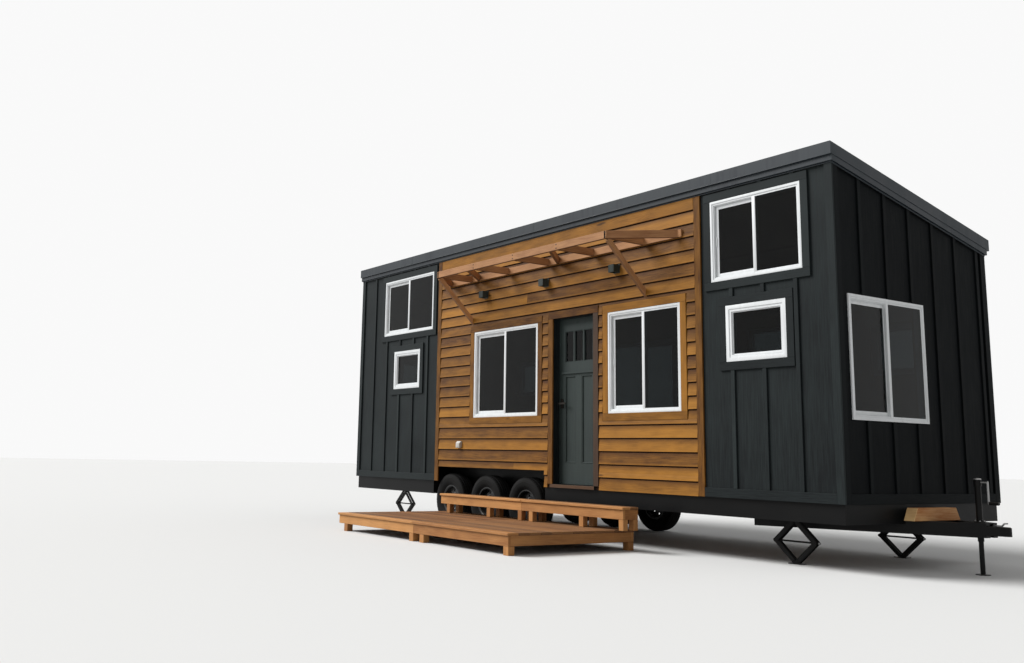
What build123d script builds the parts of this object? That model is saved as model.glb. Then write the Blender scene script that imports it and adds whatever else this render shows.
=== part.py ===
from build123d import *
import os
from collections import namedtuple

os.makedirs("parts", exist_ok=True)

# A tiny house on a triple-axle trailer, in millimetres.
# The frame: +X along the house towards the towing end, -Y out of the front (door side), +Z up.
# The origin is on the ground, under the middle of everything.

# Driving sizes of the body
body_length = 9280.0
body_width = 2610.0
skirt_line = 620.0
front_wall_height = 3240.0
roof_fall = 0.228
tongue_reach = 790.0

# Driving sizes of the walls, from the outside in
trim_t = 20.0
panel_t = 12.0
stud_wall_t = 118.0
fitting_gap = 0.3

# Driving sizes of the roof
roof_slab_t = 165.0
roof_cover_t = 12.0
seam_spacing = 406.4
seam_width = 12.0
seam_height = 32.0
seam_setback = 90.0
lower_band_h = 60.0
lower_band_t = 20.0
upper_band_h = 120.0
end_overhang = 25.0
back_overhang = 60.0
front_overhang = 40.0

# Driving sizes of the trims
casing_w = 89.0
skirt_board_h = 95.0
cedar_from_right = 1690.0
cedar_width = 5218.0

# Driving sizes of the windows' frames and panes
frame_face_w = 45.0
small_frame_face_w = 70.0
frame_recess = 4.0
frame_d = 96.0
sash_w = 38.0
sash_d = 30.0
sash_recess = 6.0
glass_t = 20.0
glass_inset = 5.0

# Driving sizes of the floor, the doorway and the door
floor_t = 42.0
door_from_right = 3435.0
door_clear_width = 768.0
door_clear_height = 2068.0
jamb_t = 30.0
sill_nose = 12.0
leaf_t = 45.0
leaf_hinge_gap = 5.0
leaf_latch_gap = 8.0
leaf_top_gap = 6.0
leaf_sill_gap = 6.0
stop_w = 12.0
stop_t = 20.0
stile_w = 118.0
top_rail_h = 160.0
lites_h = 390.0
lock_rail_h = 172.0
bottom_rail_h = 256.0
centre_stile_w = 105.0
lite_bar_w = 20.0
panel_recess = 14.0
shelf_h = 24.0
shelf_reach = 16.0
door_glass_t = 12.0
lever_height = 990.0
lever_inset = 62.0
rose_w = 46.0
rose_h = 120.0
rose_corner_r = 10.0
rose_t = 9.0
lever_neck_r = 9.0
lever_neck = 46.0
lever_stand_off = 38.0
lever_shift = 50.0
lever_length = 124.0
lever_w = 22.0
lever_t = 12.0
hinge_pin_r = 4.0
hinge_knuckle_r = 8.0
hinge_knuckle_h = 34.0
hinge_plate_t = 3.0
hinge_stand_off = 1.0
hinge_from_end = 250.0

# Driving sizes of the trailer
frame_depth = 185.0
rail_width = 60.0
rail_wall = 8.0
main_rail_inset = 395.0
crossmember_w = 50.0
crossmember_h = 100.0
crossmember_spacing = 610.0
well_from_right = 4370.0
well_length = 2600.0
well_inner_inset = 335.0
well_height = 240.0
well_t = 5.0
cutout_from_right = 4374.0
cutout_length = 2453.0
cutout_height = 205.0

# Driving sizes of the wheels and axles
wheel_radius = 365.0
tyre_width = 225.0
tyre_inset = 45.0
axle_spacing = 870.0
middle_axle_from_right = 5695.0
rim_radius = 205.0
bead_width = 160.0
hub_radius = 62.0
spindle_radius = 24.0
axle_tube = 76.0
axle_corner_r = 10.0
axle_setback = 10.0
hub_setback = 15.0
sidewall_low = 45.0
sidewall_high = 82.0
sidewall_taper = 4.0
shoulder_in = 12.0
shoulder_drop = 22.0
tread_in = 34.0
tread_drop = 2.0
groove_far = 30.0
groove_near = 10.0
groove_bevel = 4.0
groove_d = 9.0
rim_lip_t = 8.0
rim_seat_in = 22.0
rim_seat_d = 14.0
rim_well_in = 30.0
rim_well_d = 26.0
rim_back_in = 12.0
disc_out = 22.0
disc_t = 12.0
disc_root_d = 20.0
disc_dish_d = 70.0
hand_holes = 8
hand_hole_r = 15.0
hand_hole_circle = 128.0
running_gap = 0.1

# Driving sizes of the tongue, its coupler and its jack
tongue_depth = 127.0
tongue_rise = 35.0
tongue_beam_w = 60.0
tongue_spread = 620.0
tongue_apex = 760.0
tongue_plate_t = 8.0
tongue_plate_reach = 210.0
crossbar_reach = 90.0
coupler_length = 180.0
coupler_w = 92.0
coupler_h = 84.0
coupler_edge_r = 14.0
ball_radius = 29.5
ball_depth = 48.0
jack_from_end = 500.0
jack_tube_r = 28.0
jack_leg_r = 22.0
jack_foot_r = 65.0
jack_foot_t = 8.0
jack_head_r = 34.0
jack_head_h = 72.0
jack_top = 880.0
jack_top_bevel = 8.0
jack_flange_r = 54.0
jack_flange_t = 8.0
jack_overlap = 40.0
crank_arm = 190.0
crank_arm_t = 7.0
crank_offset = 60.0
crank_grip = 95.0
crank_grip_r = 13.0
crank_r = 8.0

# Driving sizes of the scissor jacks
scissor_from_end = 890.0
scissor_reach = 235.0
scissor_arm_w = 46.0
scissor_arm_t = 6.0
scissor_gap = 44.0
scissor_plate_l = 150.0
scissor_plate_w = 90.0
scissor_plate_t = 9.0
scissor_pivot_up = 24.0
scissor_pivot_out = 30.0
scissor_pin_r = 7.0
scissor_screw_r = 9.0

# Driving sizes of the timber awning
awning_reach = 600.0
awning_beam_from_right = 2530.0
awning_beam_length = 3500.0
awning_flare = 580.0
awning_top = 2900.0
awning_depth = 88.0
awning_t = 38.0
awning_rafters = 5
awning_back_rafters = (3550.0, 5300.0)
awning_back_run = 590.0
brace_foot = 2245.0
brace_depth = 62.0

# Driving sizes of the entry deck, the step and the fittings
deck_from_right = 2610.0
deck_length = 3660.0
deck_front = 1880.0
deck_back = 140.0
deck_top = 225.0
step_from_right = 2450.0
step_length = 3585.0
step_front = 460.0
step_back = 225.0
step_top = 475.0
board_t = 28.0
board_nose = 10.0
deck_rim_h = 105.0
rim_t = 38.0
deck_leg = 89.0
step_leg = 76.0
leg_inset = 180.0
step_inner_leg = 1100.0
deck_joist_t = 38.0
deck_joist_count = 8
light_size = 92.0
light_height = 2595.0
lights_from_right = (3011.0, 4343.0, 5680.0)
light_wall = 8.0
light_well = 24.0
outlet_size = 92.0
outlet_height = 520.0
outlet_from_cedar = 642.0
outlet_proud = 34.0
outlet_slope = 24.0
timber_block_length = 770.0
timber_block_front = 820.0
timber_block_from_end = 35.0
timber_block_w = 110.0
timber_block_h = 120.0
timber_block_bevel = 60.0

# Places that follow from the driving sizes
overall_length = end_overhang + body_length + tongue_reach
overall_depth = deck_front + body_width + back_overhang
right_end = overall_length / 2 - tongue_reach
left_end = right_end - body_length
front_face = deck_front - overall_depth / 2
back_face = front_face + body_width
middle_y = (front_face + back_face) / 2
siding_t = trim_t + panel_t
wall_t = siding_t + stud_wall_t
floor_top = skirt_line + floor_t
eaves_front = skirt_line + front_wall_height
frame_bottom = skirt_line - frame_depth
well_top = skirt_line + well_height
stile_depth = frame_recess + sash_recess
sash_depth = stile_depth + sash_d
tall = 2 * eaves_front
roof_underside = Plane(origin=(0, front_face, eaves_front), x_dir=(1, 0, 0), z_dir=(0, roof_fall, 1))


def along(from_right):
    """X of a point that is given by its distance from the body's right end."""
    return right_end - from_right


sheet_front, sheet_back = front_face + trim_t, back_face - trim_t
sheet_left, sheet_right = left_end + trim_t, right_end - trim_t
wall_front, wall_back = front_face + siding_t, back_face - siding_t
wall_left, wall_right = left_end + siding_t, right_end - siding_t
inner_front, inner_back = front_face + wall_t, back_face - wall_t
inner_left, inner_right = left_end + wall_t, right_end - wall_t
cedar_right = along(cedar_from_right)
cedar_left = cedar_right - cedar_width
door_right = along(door_from_right)
door_left = door_right - door_clear_width
door_sill = skirt_line + floor_t
door_head = door_sill + door_clear_height
rough_left, rough_right = door_left - jamb_t, door_right + jamb_t
rough_head = door_head + jamb_t
well_right = along(well_from_right)
well_left = well_right - well_length
cutout_right = along(cutout_from_right)
cutout_left = cutout_right - cutout_length
cutout_top = skirt_line + cutout_height


def block(x0, x1, y0, y1, z0, z1, mode=Mode.ADD):
    """A plain block between two corners, added to or cut from the piece being built."""
    with Locations((x0, y0, z0)):
        Box(x1 - x0, y1 - y0, z1 - z0, align=(Align.MIN, Align.MIN, Align.MIN), mode=mode)


def timber(start, end, width, depth):
    """A straight rectangular timber from start to end; its width lies level."""
    run = Vector(*end) - Vector(*start)
    level = run.cross(Vector(0, 0, 1))
    with BuildSketch(Plane(origin=start, x_dir=level, z_dir=run)) as section:
        Rectangle(width, depth)
    extrude(section.sketch, amount=run.length)


# A face of the house: its plane, which way is inwards, and whether places along it are along Y
Face = namedtuple("Face", "plane inwards along_y")
front = Face(Plane.XZ.offset(-front_face), -1, False)
back = Face(Plane.XZ.offset(-back_face), 1, False)
left = Face(Plane.YZ.offset(left_end), 1, True)
right = Face(Plane.YZ.offset(right_end), -1, True)

# A window: its near edge from the right end, or from the front on an end wall, its sill and size
Window = namedtuple("Window", "start sill width height slides")
lounge_window = Window(4512, 892, 1435, 1195, True)
kitchen_window = Window(2006, 892, 1169, 1195, True)
right_loft_window = Window(378, 2245, 1169, 880, True)
right_small_window = Window(593, 1385, 769, 590, False)
left_loft_window = Window(7050, 2236, 1455, 885, True)
left_small_window = Window(7400, 1375, 769, 590, False)
end_window = Window(180, 776, 1225, 1195, True)
cedar_windows = [lounge_window, kitchen_window]
black_windows = [right_loft_window, right_small_window, left_loft_window, left_small_window]
back_windows = [lounge_window, kitchen_window, right_small_window, left_small_window]


def window_middle(face, w):
    """The middle of a window, as the sketch of its face measures it."""
    across = front_face + w.start + w.width / 2 if face.along_y else along(w.start + w.width / 2)
    return (across, skirt_line + w.sill + w.height / 2)


def window_ring(face, depth, thickness, windows, outer, inner=None, mode=Mode.ADD):
    """Rectangles round windows, `outer` and `inner` beyond their edges, extruded inwards from a depth."""
    for w in windows:
        with BuildSketch(face.plane.offset(face.inwards * depth)) as ring:
            with Locations(window_middle(face, w)):
                Rectangle(w.width + 2 * outer, w.height + 2 * outer)
                if inner is not None:
                    Rectangle(w.width + 2 * inner, w.height + 2 * inner, mode=Mode.SUBTRACT)
        extrude(ring.sketch, amount=face.inwards * thickness, mode=mode)


def window_cuts(face, windows):
    """Cuts the windows' openings right through a wall or a sheet."""
    window_ring(face, 0, wall_t, windows, fitting_gap, mode=Mode.SUBTRACT)


def under_roof():
    """Cuts the piece being built off along the roof's sloping underside."""
    split(bisect_by=roof_underside, keep=Keep.BOTTOM)


# Front wall, split beside and over the doorway and over the wheels
with BuildPart() as front_wall_left:
    block(wall_left, well_left, wall_front, inner_front, skirt_line, tall)
    window_cuts(front, [left_loft_window, left_small_window])
    under_roof()
front_wall_left.part.label = "front_wall_left"
export_step(front_wall_left.part, "parts/front_wall_left.step")

with BuildPart() as front_wall_over_wheels:
    block(well_left, rough_left, wall_front, inner_front, skirt_line, tall)
    block(well_left, well_right, wall_front, inner_front, skirt_line, well_top, mode=Mode.SUBTRACT)
    window_cuts(front, [lounge_window])
    under_roof()
front_wall_over_wheels.part.label = "front_wall_over_wheels"
export_step(front_wall_over_wheels.part, "parts/front_wall_over_wheels.step")

with BuildPart() as front_wall_over_door:
    block(rough_left, rough_right, wall_front, inner_front, rough_head, tall)
    under_roof()
front_wall_over_door.part.label = "front_wall_over_door"
export_step(front_wall_over_door.part, "parts/front_wall_over_door.step")

with BuildPart() as front_wall_right:
    block(rough_right, wall_right, wall_front, inner_front, skirt_line, tall)
    window_cuts(front, [kitchen_window, right_loft_window, right_small_window])
    under_roof()
front_wall_right.part.label = "front_wall_right"
export_step(front_wall_right.part, "parts/front_wall_right.step")

# Back wall, split over the wheels
with BuildPart() as back_wall_left:
    block(wall_left, well_left, inner_back, wall_back, skirt_line, tall)
    window_cuts(back, [left_small_window])
    under_roof()
back_wall_left.part.label = "back_wall_left"
export_step(back_wall_left.part, "parts/back_wall_left.step")

with BuildPart() as back_wall_over_wheels:
    block(well_left, well_right, inner_back, wall_back, well_top, tall)
    window_cuts(back, [lounge_window])
    under_roof()
back_wall_over_wheels.part.label = "back_wall_over_wheels"
export_step(back_wall_over_wheels.part, "parts/back_wall_over_wheels.step")

with BuildPart() as back_wall_right:
    block(well_right, wall_right, inner_back, wall_back, skirt_line, tall)
    window_cuts(back, [kitchen_window, right_small_window])
    under_roof()
back_wall_right.part.label = "back_wall_right"
export_step(back_wall_right.part, "parts/back_wall_right.step")

# End walls, which stand between the long walls
with BuildPart() as left_end_wall:
    block(wall_left, inner_left, inner_front, inner_back, skirt_line, tall)
    window_cuts(left, [end_window])
    under_roof()
left_end_wall.part.label = "left_end_wall"
export_step(left_end_wall.part, "parts/left_end_wall.step")

with BuildPart() as right_end_wall:
    block(inner_right, wall_right, inner_front, inner_back, skirt_line, tall)
    window_cuts(right, [end_window])
    under_roof()
right_end_wall.part.label = "right_end_wall"
export_step(right_end_wall.part, "parts/right_end_wall.step")

# Floor, notched round the wheel wells
with BuildPart() as floor:
    block(inner_left, inner_right, inner_front, inner_back, skirt_line, floor_top)
    for y0, y1 in ((inner_front, front_face + well_inner_inset), (back_face - well_inner_inset, inner_back)):
        block(well_left, well_right, y0, y1, skirt_line, floor_top, mode=Mode.SUBTRACT)
floor.part.label = "floor"
export_step(floor.part, "parts/floor.step")


def sloped_strip(x0, x1, y0, y1, low, high):
    """A strip along the roof's slope, from `low` to `high` above the roof's underside."""
    z0, z1 = (eaves_front - roof_fall * (y - front_face) for y in (y0, y1))
    with BuildSketch(Plane.YZ.offset(x0)) as side:
        with BuildLine():
            Polyline((y0, z0 + low), (y1, z1 + low), (y1, z1 + high), (y0, z0 + high), close=True)
        make_face()
    extrude(side.sketch, amount=x1 - x0)


# Roof: an insulated slab, its seamed metal cover and two bands of edge trim
cover_high = roof_slab_t + roof_cover_t
trim_high = lower_band_h + upper_band_h
with BuildPart() as roof_slab:
    sloped_strip(left_end, right_end, front_face, back_face, 0, roof_slab_t)
roof_slab.part.label = "roof_slab"
export_step(roof_slab.part, "parts/roof_slab.step")

with BuildPart() as roof_cover:
    sloped_strip(left_end, right_end, front_face, back_face, roof_slab_t, cover_high)
    seam_count = int(body_length // seam_spacing)
    for i in range(seam_count):
        seam_x = (left_end + right_end) / 2 + (i - (seam_count - 1) / 2) * seam_spacing
        sloped_strip(seam_x - seam_width / 2, seam_x + seam_width / 2, front_face + seam_setback,
                     back_face - seam_setback, roof_slab_t, cover_high + seam_height)
roof_cover.part.label = "roof_cover"
export_step(roof_cover.part, "parts/roof_cover.step")

with BuildPart() as roof_trim:
    trim_front, trim_back = front_face - front_overhang, back_face + back_overhang
    band_front, band_back = front_face - lower_band_t, back_face + lower_band_t
    sloped_strip(left_end - end_overhang, left_end, trim_front, trim_back, lower_band_h, trim_high)
    sloped_strip(right_end, right_end + end_overhang, trim_front, trim_back, lower_band_h, trim_high)
    sloped_strip(left_end - lower_band_t, left_end, band_front, band_back, 0, lower_band_h)
    sloped_strip(right_end, right_end + lower_band_t, band_front, band_back, 0, lower_band_h)
    sloped_strip(left_end, right_end, trim_front, front_face, lower_band_h, trim_high)
    sloped_strip(left_end, right_end, band_front, front_face, 0, lower_band_h)
    sloped_strip(left_end, right_end, back_face, trim_back, lower_band_h, trim_high)
    sloped_strip(left_end, right_end, back_face, band_back, 0, lower_band_h)
roof_trim.part.label = "roof_trim"
export_step(roof_trim.part, "parts/roof_trim.step")

# Siding sheets behind the boards: cedar between two black stretches, black on the other sides
with BuildPart() as cedar_siding:
    block(cedar_left, cedar_right, sheet_front, wall_front, skirt_line, tall)
    window_cuts(front, cedar_windows)
    block(cutout_left, cutout_right, sheet_front, wall_front, skirt_line, cutout_top, mode=Mode.SUBTRACT)
    block(rough_left, rough_right, sheet_front, wall_front, skirt_line, rough_head, mode=Mode.SUBTRACT)
    under_roof()
cedar_siding.part.label = "cedar_siding"
export_step(cedar_siding.part, "parts/cedar_siding.step")

with BuildPart() as black_front_siding:
    block(sheet_left, cedar_left, sheet_front, wall_front, skirt_line, tall)
    block(cedar_right, sheet_right, sheet_front, wall_front, skirt_line, tall)
    window_cuts(front, black_windows)
    under_roof()
black_front_siding.part.label = "black_front_siding"
export_step(black_front_siding.part, "parts/black_front_siding.step")

with BuildPart() as black_back_siding:
    block(sheet_left, sheet_right, wall_back, sheet_back, skirt_line, tall)
    window_cuts(back, back_windows)
    block(cutout_left, cutout_right, wall_back, sheet_back, skirt_line, cutout_top, mode=Mode.SUBTRACT)
    under_roof()
black_back_siding.part.label = "black_back_siding"
export_step(black_back_siding.part, "parts/black_back_siding.step")

with BuildPart() as black_end_siding:
    block(sheet_left, wall_left, wall_front, wall_back, skirt_line, tall)
    block(wall_right, sheet_right, wall_front, wall_back, skirt_line, tall)
    window_cuts(left, [end_window])
    window_cuts(right, [end_window])
    under_roof()
black_end_siding.part.label = "black_end_siding"
export_step(black_end_siding.part, "parts/black_end_siding.step")

# Cedar trim: corner boards, window casings and the door casing
with BuildPart() as cedar_trim:
    block(cedar_left, cedar_left + casing_w, front_face, sheet_front, skirt_line, tall)
    block(cedar_right - casing_w, cedar_right, front_face, sheet_front, skirt_line, tall)
    under_roof()
    block(door_left - casing_w, door_right + casing_w, front_face, sheet_front, skirt_line,
          door_head + casing_w)
    block(door_left, door_right, front_face, sheet_front, skirt_line, door_head, mode=Mode.SUBTRACT)
    window_ring(front, 0, trim_t, cedar_windows, casing_w, fitting_gap)
cedar_trim.part.label = "cedar_trim"
export_step(cedar_trim.part, "parts/cedar_trim.step")

# Black trim: skirt boards, corner boards and window casings
with BuildPart() as black_trim:
    skirt_top = skirt_line + skirt_board_h
    block(left_end, cedar_left, front_face, sheet_front, skirt_line, skirt_top)
    block(cedar_right, right_end, front_face, sheet_front, skirt_line, skirt_top)
    block(left_end, cutout_left, sheet_back, back_face, skirt_line, skirt_top)
    block(cutout_right, right_end, sheet_back, back_face, skirt_line, skirt_top)
    for x0 in (left_end, sheet_right):
        block(x0, x0 + trim_t, front_face, back_face, skirt_line, skirt_top)
        block(x0, x0 + trim_t, front_face, front_face + casing_w, skirt_line, tall)
        block(x0, x0 + trim_t, back_face - casing_w, back_face, skirt_line, tall)
    for y0 in (front_face, sheet_back):
        block(left_end, left_end + casing_w, y0, y0 + trim_t, skirt_line, tall)
        block(right_end - casing_w, right_end, y0, y0 + trim_t, skirt_line, tall)
    under_roof()
    window_ring(front, 0, trim_t, black_windows, casing_w, fitting_gap)
    window_ring(back, 0, trim_t, back_windows, casing_w, fitting_gap)
black_trim.part.label = "black_trim"
export_step(black_trim.part, "parts/black_trim.step")


def window_piece(face, depth, thickness, middle, width, height, border=None):
    """A rectangle in a window's plane, solid or only its border, extruded inwards from a depth."""
    with BuildSketch(face.plane.offset(face.inwards * depth)) as outline:
        with Locations(middle):
            Rectangle(width, height)
            if border is not None:
                Rectangle(width - 2 * border, height - 2 * border, mode=Mode.SUBTRACT)
    extrude(outline.sketch, amount=face.inwards * thickness)


def slider_half(face, w, side, overlap):
    """Middle and width of one half of a sliding window; side is -1 on its left, seen from outside."""
    across, level = window_middle(face, w)
    half = w.width / 2 - frame_face_w
    return (across - side * face.inwards * (half - overlap) / 2, level), half + overlap


def window_frames(face, windows):
    """Vinyl frames; a wide one has a fixed meeting stile and, behind it on the left, the sliding sash."""
    for w in windows:
        face_w = frame_face_w if w.slides else small_frame_face_w
        inner_height = w.height - 2 * face_w
        window_ring(face, frame_recess, frame_d, [w], 0, -face_w)
        if w.slides:
            window_piece(face, stile_depth, sash_d, window_middle(face, w), sash_w, inner_height)
            sash_middle, sash_width = slider_half(face, w, -1, sash_w / 2)
            window_piece(face, sash_depth, sash_d, sash_middle, sash_width, inner_height, sash_w)


def window_panes(face, windows):
    """Double glazing: one pane in a small frame; in a wide one a fixed pane and the sash's own pane."""
    for w in windows:
        if w.slides:
            inner_height = w.height - 2 * frame_face_w - 2 * fitting_gap
            fixed_middle, fixed_width = slider_half(face, w, 1, -sash_w / 2)
            window_piece(face, stile_depth + glass_inset, glass_t, fixed_middle,
                         fixed_width - 2 * fitting_gap, inner_height)
            sash_middle, sash_width = slider_half(face, w, -1, sash_w / 2)
            window_piece(face, sash_depth + glass_inset, glass_t, sash_middle,
                         sash_width - 2 * sash_w - 2 * fitting_gap, inner_height - 2 * sash_w)
        else:
            window_ring(face, sash_depth, glass_t, [w], -small_frame_face_w - fitting_gap)


# Windows: white frames and dark panes, the front's apart from the other sides'
with BuildPart() as front_window_frames:
    window_frames(front, cedar_windows + black_windows)
front_window_frames.part.label = "front_window_frames"
export_step(front_window_frames.part, "parts/front_window_frames.step")

with BuildPart() as front_window_glass:
    window_panes(front, cedar_windows + black_windows)
front_window_glass.part.label = "front_window_glass"
export_step(front_window_glass.part, "parts/front_window_glass.step")

with BuildPart() as end_window_frames:
    window_frames(left, [end_window])
    window_frames(right, [end_window])
end_window_frames.part.label = "end_window_frames"
export_step(end_window_frames.part, "parts/end_window_frames.step")

with BuildPart() as end_window_glass:
    window_panes(left, [end_window])
    window_panes(right, [end_window])
end_window_glass.part.label = "end_window_glass"
export_step(end_window_glass.part, "parts/end_window_glass.step")

with BuildPart() as back_window_frames:
    window_frames(back, back_windows)
back_window_frames.part.label = "back_window_frames"
export_step(back_window_frames.part, "parts/back_window_frames.step")

with BuildPart() as back_window_glass:
    window_panes(back, back_windows)
back_window_glass.part.label = "back_window_glass"
export_step(back_window_glass.part, "parts/back_window_glass.step")

# Door: it opens inwards on two hinges at its right edge, flush with the wall's inner face
leaf_front = inner_front - leaf_t
leaf_left, leaf_right = door_left + leaf_latch_gap, door_right - leaf_hinge_gap
leaf_bottom, leaf_top = door_sill + leaf_sill_gap, door_head - leaf_top_gap
leaf_middle = (leaf_left + leaf_right) / 2
hinge_x = door_right - leaf_hinge_gap / 2
hinge_y = inner_front + hinge_knuckle_r + hinge_stand_off
hinge_heights = (leaf_bottom + hinge_from_end, leaf_top - hinge_from_end)

with BuildPart() as door_frame:
    with BuildSketch(Plane.XZ.offset(-sheet_front)) as jambs:
        with Locations(((door_left + door_right) / 2, door_sill)):
            Rectangle(rough_right - rough_left, rough_head - door_sill, align=(Align.CENTER, Align.MIN))
            Rectangle(door_clear_width, door_clear_height, align=(Align.CENTER, Align.MIN),
                      mode=Mode.SUBTRACT)
    extrude(jambs.sketch, amount=-(inner_front - sheet_front))
    stop_back = leaf_front - fitting_gap
    with BuildSketch(Plane.XZ.offset(-stop_back)) as stops:
        with Locations(((door_left + door_right) / 2, door_sill)):
            Rectangle(door_clear_width, door_clear_height, align=(Align.CENTER, Align.MIN))
            Rectangle(door_clear_width - 2 * stop_w, door_clear_height - stop_w,
                      align=(Align.CENTER, Align.MIN), mode=Mode.SUBTRACT)
    extrude(stops.sketch, amount=stop_t)
    block(door_left, door_right, front_face - sill_nose, sheet_front, skirt_line, door_sill)
    block(rough_left, rough_right, sheet_front, inner_front, skirt_line, door_sill)
    # Each hinge: a plate on the jamb's inner edge, two outer knuckles and the pin
    for level in hinge_heights:
        with BuildSketch(Plane.XY.offset(level - 1.5 * hinge_knuckle_h)) as pin:
            with Locations((hinge_x, hinge_y)):
                Circle(hinge_pin_r)
        extrude(pin.sketch, amount=3 * hinge_knuckle_h)
        for low in (level - 1.5 * hinge_knuckle_h, level + 0.5 * hinge_knuckle_h):
            with BuildSketch(Plane.XY.offset(low)) as knuckle:
                with Locations((hinge_x, hinge_y)):
                    Circle(hinge_knuckle_r)
            extrude(knuckle.sketch, amount=hinge_knuckle_h)
            block(hinge_x, rough_right, inner_front, inner_front + hinge_plate_t, low, low + hinge_knuckle_h)
door_frame.part.label = "door_frame"
export_step(door_frame.part, "parts/door_frame.step")

lites_top = leaf_top - top_rail_h
lites_bottom = lites_top - lites_h
panel_top = lites_bottom - lock_rail_h
panel_bottom = leaf_bottom + bottom_rail_h
lites_width = leaf_right - leaf_left - 2 * stile_w
panel_width = (lites_width - centre_stile_w) / 2

with BuildPart() as door_leaf:
    block(leaf_left, leaf_right, leaf_front, inner_front, leaf_bottom, leaf_top)
    # The lites' opening, with two bars
    with BuildSketch(Plane.XZ.offset(-inner_front)) as lites:
        with Locations((leaf_middle, (lites_top + lites_bottom) / 2)):
            Rectangle(lites_width, lites_h)
            with GridLocations((lites_width + lite_bar_w) / 3, 1, 2, 1):
                Rectangle(lite_bar_w, lites_h, mode=Mode.SUBTRACT)
    extrude(lites.sketch, amount=leaf_t, mode=Mode.SUBTRACT)
    # Two tall panels, sunk into both faces
    for face_y, amount in ((leaf_front, -panel_recess), (inner_front, panel_recess)):
        with BuildSketch(Plane.XZ.offset(-face_y)) as panels:
            with Locations((leaf_middle, (panel_top + panel_bottom) / 2)):
                with GridLocations(panel_width + centre_stile_w, 1, 2, 1):
                    Rectangle(panel_width, panel_top - panel_bottom)
        extrude(panels.sketch, amount=amount, mode=Mode.SUBTRACT)
    # The shelf under the lites
    block(leaf_left + stile_w / 2, leaf_right - stile_w / 2, leaf_front - shelf_reach, leaf_front,
          panel_top + shelf_h, panel_top + 2 * shelf_h)
    # The leaf's own knuckle of each hinge
    for level in hinge_heights:
        low = level - hinge_knuckle_h / 2 + fitting_gap
        with BuildSketch(Plane.XY.offset(low)) as knuckle:
            with Locations((hinge_x, hinge_y)):
                Circle(hinge_knuckle_r)
                Circle(hinge_pin_r + running_gap, mode=Mode.SUBTRACT)
        extrude(knuckle.sketch, amount=hinge_knuckle_h - 2 * fitting_gap)
        block(hinge_x - 3 * hinge_knuckle_r, hinge_x - hinge_pin_r - hinge_stand_off, inner_front,
              inner_front + hinge_plate_t, low, low + hinge_knuckle_h - 2 * fitting_gap)
door_leaf.part.label = "door_leaf"
export_step(door_leaf.part, "parts/door_leaf.step")

with BuildPart() as door_glass:
    lite_pitch = (lites_width + lite_bar_w) / 3
    with BuildSketch(Plane.XZ.offset(-(inner_front - leaf_t / 2 + door_glass_t / 2))) as panes:
        with Locations((leaf_middle, (lites_top + lites_bottom) / 2)):
            with GridLocations(lite_pitch, 1, 3, 1):
                Rectangle(lite_pitch - lite_bar_w - 2 * fitting_gap, lites_h - 2 * fitting_gap)
    extrude(panes.sketch, amount=door_glass_t)
door_glass.part.label = "door_glass"
export_step(door_glass.part, "parts/door_glass.step")

with BuildPart() as door_handle:
    lever_x = leaf_left + lever_inset
    lever_z = leaf_bottom + lever_height
    for face_y, out in ((leaf_front, 1), (inner_front, -1)):
        plane = Plane.XZ.offset(-face_y)
        with BuildSketch(plane) as rose:
            with Locations((lever_x, lever_z)):
                RectangleRounded(rose_w, rose_h, rose_corner_r)
        extrude(rose.sketch, amount=out * rose_t)
        with BuildSketch(plane) as neck:
            with Locations((lever_x, lever_z)):
                Circle(lever_neck_r)
        extrude(neck.sketch, amount=out * lever_neck)
        with BuildSketch(plane.offset(out * lever_stand_off)) as lever:
            with Locations((lever_x + lever_shift, lever_z)):
                SlotOverall(lever_length, lever_w)
        extrude(lever.sketch, amount=out * lever_t)
door_handle.part.label = "door_handle"
export_step(door_handle.part, "parts/door_handle.step")


def channel(plane, opens):
    """The section of a steel channel under the floor, its web on the plane's Y axis."""
    edge = Align.MIN if opens > 0 else Align.MAX
    with BuildSketch(plane) as section:
        Rectangle(rail_width, frame_depth, align=(edge, Align.MAX))
        with Locations((opens * rail_wall, -rail_wall)):
            Rectangle(rail_width, frame_depth - 2 * rail_wall, align=(edge, Align.MAX), mode=Mode.SUBTRACT)
    return section.sketch


def rail(x0, x1, y, opens):
    """A channel along X, its web's outer face at y."""
    plane = Plane(origin=(x0, y, skirt_line), x_dir=(0, 1, 0), z_dir=(1, 0, 0))
    extrude(channel(plane, opens), amount=x1 - x0)


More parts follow.
